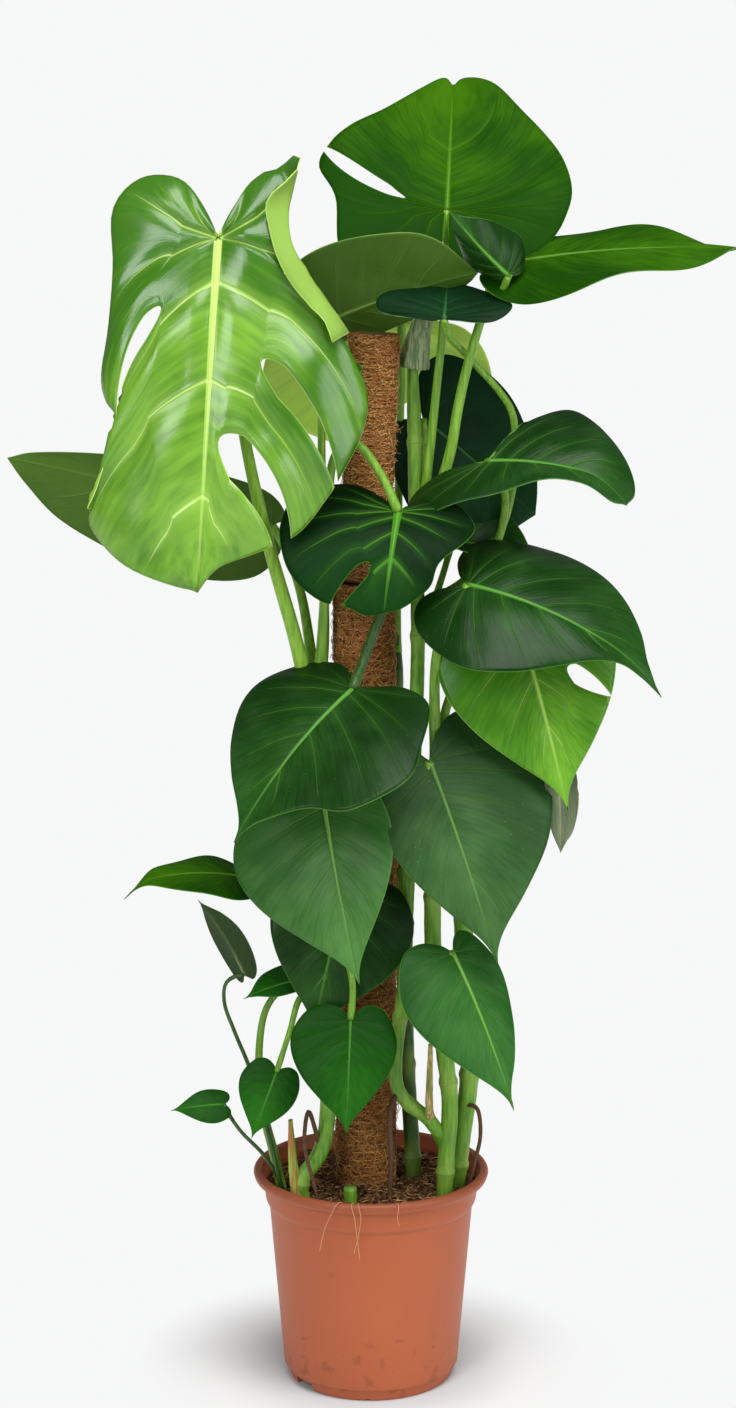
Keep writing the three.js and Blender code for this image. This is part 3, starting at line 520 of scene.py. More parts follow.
def coir_wrap(name, foot, head, radius, bore, fibre_count, curl, seed):
    """The fibre mat round one pipe: a rough sleeve, its stray fibres and its winding thread."""
    axis = (head - foot).normalized()
    out = axis.orthogonal().normalized()
    beside = axis.cross(out)
    length = (head - foot).length
    chance = random.Random(seed)

    def point(angle, far, rise):
        return foot + axis * rise + (out * math.cos(angle) + beside * math.sin(angle)) * far

    def roughness(angle, rise):
        where = Vector((math.cos(angle) * 3, math.sin(angle) * 3, rise / 9))
        ridge = 0.35 * math.sin(rise * 2 * math.pi / RIDGE_SPACING)
        return 1.1 * noise.noise(where * 2.1) + 0.8 * noise.noise(where) + ridge - 0.6

    rows = round(length / MAT_ROW)
    outside = [(radius, row * length / rows) for row in range(rows + 1)]
    path = [(bore, 0), *outside, (bore, length), (bore, 0)]

    def corner(side, row):
        far, rise = path[row]
        angle = 2 * math.pi * (side % SIDES) / SIDES
        if far == radius:
            far += roughness(angle, rise)
        return point(angle, far, rise)

    bm = bmesh.new()
    sheet(bm, SIDES, len(path) - 1, corner)
    weld(bm)
    bmesh.ops.recalc_face_normals(bm, faces=bm.faces)
    piece(name + "_mat", bm, [coir_mat], name, "coir")

    def laid(angle, rise, high):
        """A point that stands high over the mat, kept off its ends."""
        level = min(max(rise, 0.5), length - 0.5)
        return point(angle, radius + roughness(angle, level) + high, level)

    lines = []
    for _ in range(fibre_count):
        angle, rise = chance.uniform(0, 2 * math.pi), chance.uniform(2, length - 2)
        slope = chance.gauss(0, curl)
        reach = chance.uniform(8, 26)
        lift = chance.uniform(0.2, 1.1) + 2.2 * chance.random() ** 5
        stray = chance.uniform(2, 8) if chance.random() < STRAY_SHARE else 0
        stride = reach / (FIBRE_STEPS - 1)
        line = []
        for step in range(FIBRE_STEPS):
            high = lift * math.sin(math.pi * (step + 0.4) / (FIBRE_STEPS + 0.2))
            line.append(laid(angle, rise, high + stray * (step / (FIBRE_STEPS - 1)) ** 2))
            slope += chance.gauss(0, curl * 0.5)
            angle += stride / radius * math.cos(slope)
            rise += stride * math.sin(slope)
        lines.append(line)
    turns = length / THREAD_PITCH
    thread = []
    for step in range(round(turns * THREAD_SIDES)):
        angle = 2 * math.pi * step / THREAD_SIDES
        rise = 1 + step / (turns * THREAD_SIDES) * (length - 2)
        thread.append(laid(angle, rise + 2.2 * noise.noise(Vector((angle / 5, seed, 0))), 0.5))
    lines.append(thread)
    strands(name + "_fibres", lines, FIBRE_THICKNESS, coir_fibre, name, "coir")


coir_wrap(
    "coir_pole_lower", LOWER_FOOT, LOWER_HEAD, radius=31, bore=20.3, fibre_count=3900, curl=0.8,
    seed=11,
)
coir_wrap(
    "coir_pole_upper", UPPER_FOOT, UPPER_HEAD, radius=25, bore=15.3, fibre_count=2000, curl=0.35,
    seed=23,
)

pipe_plastic = grained(
    "dull brown pipe plastic", 0.4, (4, 4, 0.2), (84, 66, 50), (122, 102, 84), (0.45, 0.25), 0.15,
)
for name in ("pole_pipe_lower", "pole_pipe_upper", "pole_top_plug"):
    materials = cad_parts[name].data.materials
    materials.clear()
    materials.append(pipe_plastic.material)

# Climbing stems. Five green stems rise from the soil against the poles. Each has a raised ring
# with a tan scar where an old leaf stood, and a paler length between one ring and the next.


class Route:
    """A smooth line through points, measured along its length."""

    STEPS = 14

    def __init__(self, points):
        points = [Vector(point) for point in points]
        ends = [2 * points[0] - points[1], *points, 2 * points[-1] - points[-2]]
        self.points = [points[0]]
        for p0, p1, p2, p3 in zip(ends, ends[1:], ends[2:], ends[3:]):
            g0, g1, g2 = [
                max((b - a).length, 1e-3) ** 0.5 for a, b in ((p0, p1), (p1, p2), (p2, p3))
            ]
            leave = ((p1 - p0) / g0 - (p2 - p0) / (g0 + g1) + (p2 - p1) / g1) * g1
            reach = ((p2 - p1) / g1 - (p3 - p1) / (g1 + g2) + (p3 - p2) / g2) * g1
            for k in range(self.STEPS):
                self.points.append(hermite(p1, p2, leave, reach, (k + 1) / self.STEPS))
        self.marks = [0]
        for a, b in zip(self.points, self.points[1:]):
            self.marks.append(self.marks[-1] + (b - a).length)
        self.length = self.marks[-1]

    def at(self, share):
        """The point a share of the length along."""
        wanted = min(max(share, 0), 1) * self.length
        index = 1
        while index < len(self.marks) - 1 and self.marks[index] < wanted:
            index += 1
        step = self.marks[index] - self.marks[index - 1]
        rest = (wanted - self.marks[index - 1]) / step if step else 0
        return self.points[index - 1].lerp(self.points[index], rest)

    def at_height(self, height):
        """The point of the line nearest to a height."""
        return min(self.points, key=lambda point: abs(point.z - height))

    def rings(self, count):
        """Centres along the line, each with two directions square to it that don't spin."""
        centres = [self.at(k / count) for k in range(count + 1)]
        out = (centres[1] - centres[0]).orthogonal().normalized()
        made = []
        for k, centre in enumerate(centres):
            ahead = (centres[min(k + 1, count)] - centres[max(k - 1, 0)]).normalized()
            out = (out - ahead * out.dot(ahead)).normalized()
            made.append((centre, out, ahead.cross(out)))
        return made


def bar(bm, route, radius_at, sides, step, flat=1, material=0, rough=0):
    """A closed bar along a route; radius_at(share) is its radius, and flat narrows it one way."""
    count = max(6, round(route.length / step))
    rings = route.rings(count)

    def ring_at(row):
        """The ring that a row lies on; the first and last rows close the bar's ends."""
        return min(max(row - 1, 0), count)

    def corner(side, row):
        centre, out, beside = rings[ring_at(row)]
        radius = radius_at(ring_at(row) / count) if 0 < row < count + 2 else 0
        angle = 2 * math.pi * (side % sides) / sides
        if rough and radius:
            spot = centre / 7 + out * math.cos(angle) + beside * math.sin(angle)
            radius *= 1 + rough * noise.noise(spot)
        return centre + out * radius * math.cos(angle) + beside * radius * flat * math.sin(angle)

    def layout(side, row):
        return side / sides, ring_at(row) / count * route.length

    sheet(bm, sides, count + 2, corner, layout, material=material)


def hump(far, reach):
    """1 at the middle of a smooth hump, and almost 0 at twice its reach."""
    return math.exp(-((far / reach) ** 2))


# Each stem's radius and the points of its middle line, from under the soil to its head.
STEMS = {
    "stem_left": (8, [
        (-60, -56, 180), (-70, -67, 224), (-50, -60, 256), (-43, -52, 298), (-46, -40, 400),
        (-48, -36, 520), (-50, -34, 640), (-50, -28, 740),
    ]),
    "stem_main": (7, [
        (82, -8, 180), (76, -30, 245), (60, -48, 282), (27, -54, 318), (33, -48, 428),
        (36, -42, 520), (42, -34, 640), (46, -12, 760), (44, 10, 880), (42, 22, 985),
        (40, 22, 1040),
    ]),
    "stem_right": (8.5, [
        (74, -44, 180), (75, -42, 236), (79, -42, 298), (71, -42, 370), (62, -38, 450),
        (62, -34, 560), (66, -28, 660),
    ]),
    "stem_outer": (9.5, [
        (84, -16, 180), (91, -18, 252), (99, -16, 320), (97, -12, 400), (92, -6, 480), (86, 2, 570),
    ]),
    "stem_dark": (8, [
        (44, 4, 180), (43, 4, 222), (38, 18, 300), (34, 34, 400), (30, 40, 520), (26, 44, 640),
        (24, 46, 760),
    ]),
}
RING_SPACING, RING_SWELL, RING_REACH = 95, 0.16, 0.05
GROOVE_AFTER, GROOVE_DEPTH, GROOVE_REACH = 0.07, 0.05, 0.03
HEAD_START, HEAD_TAPER = 0.94, 6
stem_routes = {name: Route(points) for name, (_, points) in STEMS.items()}


def stem_finish(name, deep, fresh):
    """Stem skin: lengthwise streaks, and a tan, corky band at each ring."""
    skin = Finish(name, specular_ior_level=0.4)
    streaks = skin.cloud(3, detail=3, stretch=(1, 1, 0.12))
    along = skin.part(skin.node("UVMap"), "Y")
    phase = (along / RING_SPACING).math("FRACT")
    from_ring = (phase - 0.5).math("ABSOLUTE") * RING_SPACING
    scar = 1 - skin.step(from_ring + skin.cloud(5) * 3, 1.8, 3)
    pale = 1 - skin.step(from_ring, 3, 26)
    blotch = skin.step(skin.cloud(9, detail=5), 0.64, 0.74)
    colour = skin.layered(
        skin.mix(skin.step(streaks, 0.2, 0.8), deep, fresh), (pale * 0.3, (160, 194, 84)),
        (blotch * 0.12, (112, 100, 52)), (scar * 0.5, (140, 150, 70)),
    )
    skin.set(base_color=colour, roughness=0.38 + scar * 0.3 + streaks * 0.12)
    skin.bump(streaks * 0.5 + scar * 0.6 + blotch * 0.4, 0.5)
    return skin


green_stem = stem_finish("green stem skin", paint(74, 128, 28), paint(122, 172, 52))
dark_stem = stem_finish("dark stem skin", paint(30, 66, 16), paint(66, 108, 32))
for name, (radius, _) in STEMS.items():
    route = stem_routes[name]

    def stem_radius(share, route=route, radius=radius):
        from_ring = share * route.length / RING_SPACING % 1 - 0.5
        ring = RING_SWELL * hump(from_ring, RING_REACH)
        groove = GROOVE_DEPTH * hump(from_ring - GROOVE_AFTER, GROOVE_REACH)
        return radius * (1 + ring - groove) * (1 - max(0, share - HEAD_START) * HEAD_TAPER)

    bm = bmesh.new()
    bar(bm, route, stem_radius, sides=20, step=2.6, rough=0.03)
    weld(bm)
    skin = dark_stem if name == "stem_dark" else green_stem
    piece(name + "_skin", bm, [skin], name, "stem")

# What clings to the stems. A rolled new leaf in its sheath at the growing tip, a dead leaf base
# dried to ribbed tan paper and one that is still half green, a cut stub, and three brown air
# roots that reach the soil.
sheath_skin = grained(
    "growing tip sheath", 0.45, (2.2, 2, 0.06), (84, 110, 66), (146, 164, 118), (0.4, 0.15), 0.6,
    band=(0.35, 0.65),
)
green_sheath = grained(
    "green leaf base", 0.3, (3, 3, 0.06), (140, 168, 66), (168, 112, 60), (0.5, 0), 0.4,
    band=(0.48, 0.6),
)
root_skin = grained(
    "air root bark", 0.25, (1.6, 4, 0.3), (44, 28, 20), (116, 84, 58), (0.7, 0.2), 0.5,
)
dry_paper = Finish("dried leaf base", specular_ior_level=0.2)
ribs = dry_paper.cloud(1.8, detail=3, stretch=(1, 1, 0.08))
green = dry_paper.step(dry_paper.cloud(10, detail=4), 0.42, 0.58)
husk = dry_paper.layered(
    paint(122, 88, 50), (dry_paper.step(ribs, 0.35, 0.62), (206, 178, 122)),
    (green * 0.7, (126, 146, 70)),
)
dry_paper.set(base_color=husk, roughness=0.7 + ribs * 0.2)
dry_paper.bump(ribs, 0.9)

# Each piece's name, finish, slot, flatness, radius at its foot and end, and middle line.
CLINGING = [
    ("growth_tip_sheath", sheath_skin, "stem", 0.95, (17, 6),
     [(41, 22, 1030), (44, 20, 1048), (50, 14, 1072), (60, 4, 1092)]),
    ("dry_sheath_left", green_sheath, "stem", 0.6, (9.5, 2.5),
     [(-68, -68, 190), (-77, -72, 240), (-80, -70, 292)]),
    ("dry_sheath_right", dry_paper, "stem", 0.6, (6, 3),
     [(60, -48, 284), (58, -60, 300), (59, -57, 366)]),
    ("cut_stub", green_stem, "stem", 1, (7, 6.5),
     [(-20, -68, 190), (-20.4, -69, 206), (-21, -70, 221)]),
    ("air_root_left", root_skin, "root", 1, (2.4, 1.6),
     [(-50, -60, 256), (-62, -70, 300), (-66, -80, 270), (-56, -86, 228), (-50, -82, 190)]),
    ("air_root_front", root_skin, "root", 1, (2.8, 2.4),
     [(27, -54, 318), (19, -66, 300), (20, -66, 250), (18, -62, 190)]),
    ("air_root_right", root_skin, "root", 1, (2.2, 1.8),
     [(92, -18, 290), (106, -34, 292), (110, -38, 266), (103, -36, 230), (95, -31, 190)]),
]
for name, finish, slot, flat, (foot, end), points in CLINGING:
    bm = bmesh.new()
    bar(
        bm, Route(points), lambda share: foot + (end - foot) * share, sides=14, step=2.5,
        flat=flat, rough=0.1,
    )
    weld(bm)
    piece(name + "_body", bm, [finish], name, slot)

# Leaves. Each has a stalk that clasps its stem, a swollen joint, and a leathery
# blade whose midrib runs on from the stalk, with side veins sunk in its upper face and raised
# below. The split ones have slits that run in from the margin between two side veins.
BLADE_THICKNESS = 0.8


def heart(length, width, lobe=0.12, belly=0.2):
    """Half of a heart-shaped blade: points along the midrib and out from it, joint to tip."""
    shares = [
        (0, 0), (-0.6 * lobe, 0.14), (-lobe, 0.4), (-0.7 * lobe, 0.7), (belly - 0.15, 0.91),
        (belly, 1), (belly + 0.16, 0.95), (belly + 0.33, 0.76), (0.7, 0.45), (0.83, 0.18),
        (0.92, 0.05), (1, 0),
    ]
    return [(u * length, v * width) for u, v in shares]


def on_outline(outline, share):
    """The outline's point a share of the way from the joint to the tip."""
    spot = min(max(share, 0), 1) * (len(outline) - 1)
    index = min(int(spot), len(outline) - 2)
    p1, p2 = Vector(outline[index]), Vector(outline[index + 1])
    p0 = Vector(outline[index - 1]) if index else 2 * p1 - p2
    p3 = Vector(outline[index + 2]) if index + 2 < len(outline) else 2 * p2 - p1
    return hermite(p1, p2, (p2 - p0) / 2, (p3 - p1) / 2, spot - index)


class Blade:
    """A blade's middle surface: it arches along the midrib, and its halves rise and then cup."""

    SWELLING, SWELLING_FADE, SEED_STRIDE = 60, 25, 3.7
    DROOP_FROM = 0.72

    def __init__(self, joint, tip, face, seed, arch=20, fold=6, cup=20, twist=0, bow=0.12, base=0.4,
                 droop=0, wave=2, waves=3, uneven=2.5, quilt=0.7):
        self.joint = Vector(joint)
        chord = Vector(tip) - self.joint
        self.ahead = chord.normalized()
        face = Vector(face)
        self.up = (face - self.ahead * face.dot(self.ahead)).normalized()
        self.side = self.up.cross(self.ahead)
        self.arch = math.radians(arch)
        self.length = chord.length * self.arch / 2 / math.sin(self.arch / 2)
        self.fold, self.cup, self.twist = math.radians(fold), math.radians(cup), math.radians(twist)
        self.bow, self.base, self.droop = bow, base, droop
        self.wave, self.waves, self.uneven, self.quilt, self.seed = wave, waves, uneven, quilt, seed

    def place(self, u, v, reach):
        """Where a flat point of the blade lies; v is negative on the left half."""
        share = u / self.length
        bend = self.arch * (0.5 - share)
        radius = self.length / self.arch
        lean = share * self.twist
        point = self.joint + self.ahead * radius * (math.sin(self.arch / 2) - math.sin(bend))
        point += self.up * radius * (math.cos(bend) - math.cos(self.arch / 2))
        normal = self.up * math.cos(bend) - self.ahead * math.sin(bend)
        out = self.side * math.cos(lean) + normal * math.sin(lean)
        raised = normal * math.cos(lean) - self.side * math.sin(lean)
        rise = self.fold - self.cup * abs(v) / (2 * reach)
        point += out * v * math.cos(rise) + raised * abs(v) * math.sin(rise)
        where = Vector((u / self.SWELLING, v / self.SWELLING, self.seed * self.SEED_STRIDE))
        point += normal * self.uneven * noise.noise(where) * min(1, abs(v) / self.SWELLING_FADE)
        hanging = max(0, share - self.DROOP_FROM) / (1 - self.DROOP_FROM)
        point.z -= self.droop * hanging**2
        return point

    def flat(self, outline, q, t):
        """The flat point a share t out on the side vein that ends a share q round the outline."""
        edge = on_outline(outline, q)
        start = outline[-1][0] * max(0, (q - self.base) / (1 - self.base)) ** 1.6
        du = edge.x - start
        span = math.hypot(du, edge.y) or 1
        bulge = 2 * t * (1 - t) * self.bow * du / span
        return start + du * t - bulge * edge.y, max(edge.y * t + bulge * du, 0), span


SLIT_ROUNDING = 0.2


def opening(slit, t):
    """Half the width of a slit, as a share of the outline, a share t out along its vein."""
    inner, width, narrowing = slit[1:]
    if t <= inner:
        return 0
    way = (t - inner) / (1 - inner)
    return width * math.sqrt(min(1, way / SLIT_ROUNDING)) * (1 - narrowing * way * way)


def rolled(blade, outline, hand, reach, roll, q, t):
    """A point of a margin that bends up and lies back over, so that its pale underside shows.

    A roll is where on the outline it begins, is full and ends, then the share of the vein where it
    bends, its angle, and how much wider its strip is than the flat one.
    """
    first, full, last, starts, angle, extras = roll
    ease = min(1, max(0, (q - first) / (full - first)))
    swell = ease * ease * (3 - 2 * ease)
    later = min(1, max(0, (q - full) / (last - full)))
    start, extra = [pair[0] + (pair[1] - pair[0]) * later for pair in (starts, extras)]
    u, v, span = blade.flat(outline, q, min(t, start))
    point = blade.place(u, hand * v, reach)
    if t <= start:
        return point

    def near(dq, dt):
        u, v = blade.flat(outline, q + dq, start + dt)[:2]
        return blade.place(u, hand * v, reach)

    crease = (near(0.01, 0) - near(-0.01, 0)).normalized()
    out = point - near(0, -0.04)
    out = (out - crease * out.dot(crease) * swell).normalized()
    normal = crease.cross(out).normalized() * hand
    whole = span * (1 - start) + extra * swell
    far = (t - start) / (1 - start) * whole
    bent = whole * 0.5
    turn = math.radians(angle) * swell / bent
    if abs(turn) < 1e-5:
        return point + out * far
    turned_by = turn * min(far, bent)
    point += out * math.sin(turned_by) / turn + normal * (1 - math.cos(turned_by)) / turn
    return point + (out * math.cos(turned_by) + normal * math.sin(turned_by)) * max(0, far - bent)


def half_blade(bm, blade, outline, hand, slits, rolls, ribs, columns, rows):
    """One half of a blade, a sheet for each lobe between two slits, joined inside the slits."""
    layers = bm.verts.layers.float
    reach = max(v for u, v in outline)
    slits = sorted(slits)
    numbers = [0.5, *range(1, len(ribs) + 1), len(ribs) + 0.5]
    marks = [0, *ribs, 1]

    def lateral(q):
        """The side veins counted along the outline: whole at each vein."""
        for k in range(len(marks) - 1):
            if q <= marks[k + 1] or k == len(marks) - 2:
                way = (q - marks[k]) / (marks[k + 1] - marks[k])
                return numbers[k] + (numbers[k + 1] - numbers[k]) * way

    bounds = [(0, 0, 0, 0), *slits, (1, 0, 0, 0)]
    for left, right in zip(bounds, bounds[1:]):
        lobe = [q for q in columns if left[0] <= q <= right[0]]

        def share(a, b):
            """The outline share of a corner, moved away from the slits on both sides."""
            q, t = lobe[a], rows[b]
            way = (q - left[0]) / (right[0] - left[0])
            opened = opening(left, t) * (1 - way) - opening(right, t) * way
            return min(max(q + opened, 0), 1), t

        def corner(a, b):
            q, t = share(a, b)
            for roll in rolls:
                if roll[0] < q and lobe[-1] <= roll[2] + 0.001:
                    return rolled(blade, outline, hand, reach, roll, q, t)
            u, v = blade.flat(outline, q, t)[:2]
            return blade.place(u, hand * v, reach)

        def layout(a, b):
            return lateral(lobe[a]), rows[b]

        spots = sheet(bm, len(lobe) - 1, len(rows) - 1, corner, layout, flip=hand < 0)
        for vert, (a, b) in spots.items():
            q, t = share(a, b)
            u, v, span = blade.flat(outline, q, t)
            beside = [blade.flat(outline, q + dq, t)[:2] for dq in (-0.01, 0.01)]
            per_share = math.dist(*beside) / 0.02
            gap = per_share * (marks[2] - marks[1])
            cuts = [
                abs(q - slit[0] - way * opening(slit, t)) * per_share
                for slit, way in ((left, 1), (right, -1)) if slit[2] and t > slit[1]
            ]
            off_vein = abs(lateral(lobe[a]) - round(lateral(lobe[a])))
            pillow = math.sin(math.pi * off_vein) ** 0.75 * (4 * t * (1 - t)) ** 0.5
            phase = 2 * math.pi * (blade.waves * q + 0.37 * blade.seed) + (hand < 0) * 1.9
            ripple = t**3 * math.sin(phase) * min(1, v / 12)
            vert[layers["rib_gap"]] = gap
            vert[layers["margin"]] = min([(1 - t) * span, *cuts])
            vert[layers["midrib"]] = v
            vert[layers["along"]] = u / outline[-1][0]
            vert[layers["relief"]] = blade.quilt * pillow * min(1, gap / 12) + blade.wave * ripple


def leaf_finish(name, deep, body, vein, gloss, shine, dusty, veined, raised):
    """Leaf skin: mottled green, pale veins, a painted highlight along the margin, fine striations,
    and dust if it is old.

    raised is 1 where the veins stand up, and -1 where they are sunk in.
    """
    skin = Finish(name, specular_ior_level=shine)
    marked, outward = [skin.part(skin.node("UVMap"), axis) for axis in "XY"]
    rib_gap, margin, midrib, along = [
        skin.node("Attribute", {"attribute_name": layer}, output="Fac")
        for layer in ("rib_gap", "margin", "midrib", "along")
    ]
    inward = 1 - outward
    to_vein = ((marked + 0.5).math("FRACT") - 0.5).math("ABSOLUTE") * rib_gap
    line = (1 - skin.step(to_vein, 0.1, 0.5 + inward * 1.3 * veined)) * skin.step(margin, 4, 40)
    halo = (1 - skin.step(to_vein, 0.5, 8)) * inward
    half_spine = 0.8 + (1 - along) * 3.4 * veined
    spine = (1 - skin.step(midrib, half_spine * 0.6, half_spine)) * (1.1 - along * 0.8)
    # A pale line along the margin: a painted highlight where light catches the edge.
    margin_highlight = 1 - skin.step(margin, 0.3, 1)
    combed = skin.node("CombineXYZ", {}, {0: marked * 0.011, 1: outward * 0.003})
    stripes = skin.cloud(1, detail=3, where=combed)
    mottle = skin.cloud(80, detail=2)
    pores = skin.cloud(1.3, detail=2)
    tone = skin.step(mottle * 0.42 + stripes * 0.28 + along * 0.24 + inward * 0.08, 0.36, 0.72)
    colour = skin.mix(tone, deep, body)
    colour = skin.mix(halo * 0.12 * veined, colour, vein)
    colour = skin.mix(line * 0.42 * veined, colour, vein)
    colour = skin.mix(spine * 0.8, colour, vein)
    colour = skin.mix(margin_highlight * 0.5, colour, vein)
    if dusty:
        grit = skin.specks(5.5, 0.5) * skin.step(skin.cloud(24), 0.46, 0.6)
        colour = skin.mix(grit * dusty, colour, paint(150, 170, 130))
        film = skin.step(skin.cloud(40, detail=5), 0.4, 0.7)
        colour = skin.mix(film * dusty * 0.12, colour, paint(104, 134, 96))
    skin.set(base_color=colour, roughness=gloss + mottle * 0.12 + pores * 0.04)
    skin.bump(line * raised + spine * raised * 0.5 + stripes * 0.5 + pores * 0.1, 0.6)
    return skin


# Each palette: the deep and the full green, the veins, the underside; then the roughness, the
# shine, the dust, and how strongly the veins show.
PALETTES = {
    "lime": ((54, 108, 8), (126, 178, 52), (196, 232, 116), (154, 196, 82), 0.14, 0.55, 0, 1.3),
    "bright": ((56, 120, 10), (118, 178, 44), (170, 212, 92), (150, 194, 76), 0.26, 0.25, 0, 0.8),
    # This palette's greens are painted light: pale colours standing in for light shining through
    # the leaf.
    "painted_backlight": ((150, 196, 62), (196, 232, 110), (206, 240, 120), (192, 238, 92), 0.4, 0.2, 0, 0.8),
    "top": ((20, 64, 0), (56, 106, 2), (76, 128, 18), (74, 112, 40), 0.5, 0.05, 0, 0.7),
    "dark": ((12, 48, 6), (36, 84, 22), (84, 146, 46), (104, 146, 66), 0.25, 0.17, 0.3, 0.7),
    "darkest": ((6, 34, 8), (16, 60, 16), (84, 150, 40), (54, 92, 36), 0.4, 0.06, 0, 1.2),
    "grey": ((34, 70, 28), (62, 104, 48), (92, 138, 64), (92, 122, 66), 0.42, 0.16, 0.6, 0.6),
    "mid": ((24, 76, 16), (54, 114, 40), (110, 164, 66), (92, 138, 58), 0.34, 0.14, 0.2, 0.5),
    "young": ((16, 68, 6), (36, 106, 18), (58, 124, 30), (88, 140, 54), 0.36, 0.1, 0, 0.4),
    "soft": ((42, 94, 30), (82, 136, 62), (110, 158, 72), (92, 138, 58), 0.32, 0.22, 0.35, 0.6),
    "olive": ((40, 68, 20), (60, 98, 30), (108, 142, 58), (74, 110, 34), 0.4, 0.1, 0, 0.9),
    "shade": ((10, 40, 18), (22, 64, 32), (44, 96, 46), (52, 96, 52), 0.4, 0.08, 0, 0.5),
    "withered": ((78, 92, 66), (138, 150, 118), (170, 178, 140), (128, 142, 110), 0.6, 0.1, 0, 0.8),
    "dull": ((30, 44, 22), (54, 72, 38), (116, 130, 76), (50, 76, 36), 0.46, 0.1, 0.3, 0.6),
}
finishes, rib_skins = {}, {}
for name, (*tones, gloss, shine, dust, veined) in PALETTES.items():
    deep, body, vein, under = [paint(*tone) for tone in tones]
    deeper = (*[0.72 * value for value in under[:3]], 1)
    pale = [(a + b) / 2 for a, b in zip(under, vein)]
    # The blade's cut edge: painted pale as a highlight where light catches it, with real dried tan
    # patches.
    edge = Finish(name + " leaf margin painted highlight", roughness=0.5)
    dry = edge.step(edge.cloud(12, detail=3), 0.5, 0.75)
    edge.set(base_color=edge.mix(dry * 0.5, vein, paint(176, 172, 110)))
    finishes[name] = [
        leaf_finish(name + " leaf face", deep, body, vein, gloss, shine, dust, veined, -1),
        leaf_finish(name + " leaf underside", deeper, under, pale, 0.45, 0.15, 0, veined, 1),
        edge,
    ]
    rib_skins[name] = Finish(
        name + " midrib", base_color=vein, roughness=0.4, specular_ior_level=0.3
    )


def stalk_finish(name, deep, fresh):
    """Stalk skin: smooth, with fine lengthwise streaks and small pale flecks."""
    skin = Finish(name, specular_ior_level=0.45)
    streaks = skin.cloud(2.4, detail=3, stretch=(1, 1, 0.05))
    flecks = skin.specks(4, 0.5)
    colour = skin.mix(skin.step(streaks, 0.2, 0.8), deep, fresh)
    colour = skin.mix(flecks * 0.1, colour, paint(190, 214, 140))
    skin.set(base_color=colour, roughness=0.34 + streaks * 0.14)
    skin.bump(streaks, 0.15)
    return skin


STALKS = {
    "fresh": stalk_finish("fresh stalk skin", paint(84, 134, 22), paint(132, 180, 56)),
    "lime": stalk_finish("lime stalk skin", paint(104, 158, 24), paint(158, 204, 66)),
    "dark": stalk_finish("dark stalk skin", paint(24, 60, 14), paint(60, 104, 32)),
}


RIBS = [0.13 + 0.115 * k for k in range(7)]
CELL = 0.02
CLASP, CLASP_REACH = 0.45, 22
KNUCKLE, KNUCKLE_REACH = 0.22, 9
MIDRIB_END = 0.72


def grow(name, palette, joint, tip, face, right, left, stalk, radius, stem=None, stalk_skin="fresh",
         right_slits=(), left_slits=(), rolls=(), ribs=RIBS, fine=1, slot="leaf", **bends):
    """One leaf: its blade with slits and veins, and its stalk and midrib in one run.

    right and left are the outlines of the halves: points along the midrib and out from it. A slit
    is its place on the outline, where it starts along its vein, its width and how much it narrows.
    """
    seed = sum(ord(letter) for letter in name) % 97
    blade = Blade(joint, tip, face, seed, **bends)
    marks = sorted({0, 1, *ribs, *[slit[0] for slit in (*right_slits, *left_slits)]})
    columns = [0]
    for a, b in zip(marks, marks[1:]):
        cells = max(2, round((b - a) / CELL * fine))
        columns += [a + (b - a) * k / cells for k in range(1, cells + 1)]
    row_count = round(20 * fine)
    rows = {k / row_count for k in range(row_count + 1)}
    for slit in (*right_slits, *left_slits):
        rows |= {slit[1] + (1 - slit[1]) * far for far in (0, 0.008, 0.03, 0.07)}
    rows = sorted(rows)
    rows = [t for k, t in enumerate(rows) if k == 0 or t - rows[k - 1] > 0.002]

    bm = bmesh.new()
    for layer in ("rib_gap", "margin", "midrib", "along", "relief"):
        bm.verts.layers.float.new(layer)
    for outline, hand, slits in ((right, 1, right_slits), (left, -1, left_slits)):
        own = [roll[1:] for roll in rolls if roll[0] == hand]
        half_blade(bm, blade, outline, hand, slits, own, ribs, columns, rows)
    weld(bm, 0.02)
    bm.normal_update()
    relief = bm.verts.layers.float["relief"]
    for vert in bm.verts:
        vert.co += vert.normal * vert[relief]
    made = piece(name + "_blade", bm, finishes[palette], name, slot)
    shell = made.modifiers.new("thickness", "SOLIDIFY")
    shell.thickness = BLADE_THICKNESS * MM
    shell.offset = -1
    shell.material_offset = 1
    shell.material_offset_rim = 2

    foot, end = radius
    start = [stem_routes[stem[0]].at_height(stem[1])] if stem else []
    route = Route([*start, *stalk, joint])

    def stalk_radius(share):
        far = share * route.length
        clasp = CLASP * math.exp(-far / CLASP_REACH) if stem else 0
        knuckle = KNUCKLE * hump(route.length - far - KNUCKLE_REACH, KNUCKLE_REACH)
        return (foot + (end - foot) * share) * (1 + clasp + knuckle)

    def rib_radius(share):
        return 0.62 * end * (1 - share**0.7) + 0.2

    bm = bmesh.new()
    bar(bm, route, stalk_radius, sides=12, step=4)
    along = (0, 0.1, 0.25, 0.4, 0.55, MIDRIB_END)
    spine = Route([blade.place(right[-1][0] * share, 0, 1) for share in along])
    bar(bm, spine, rib_radius, sides=10, step=5, material=1)
    weld(bm)
    piece(name + "_stalk", bm, [STALKS[stalk_skin], rib_skins[palette]], name, slot)


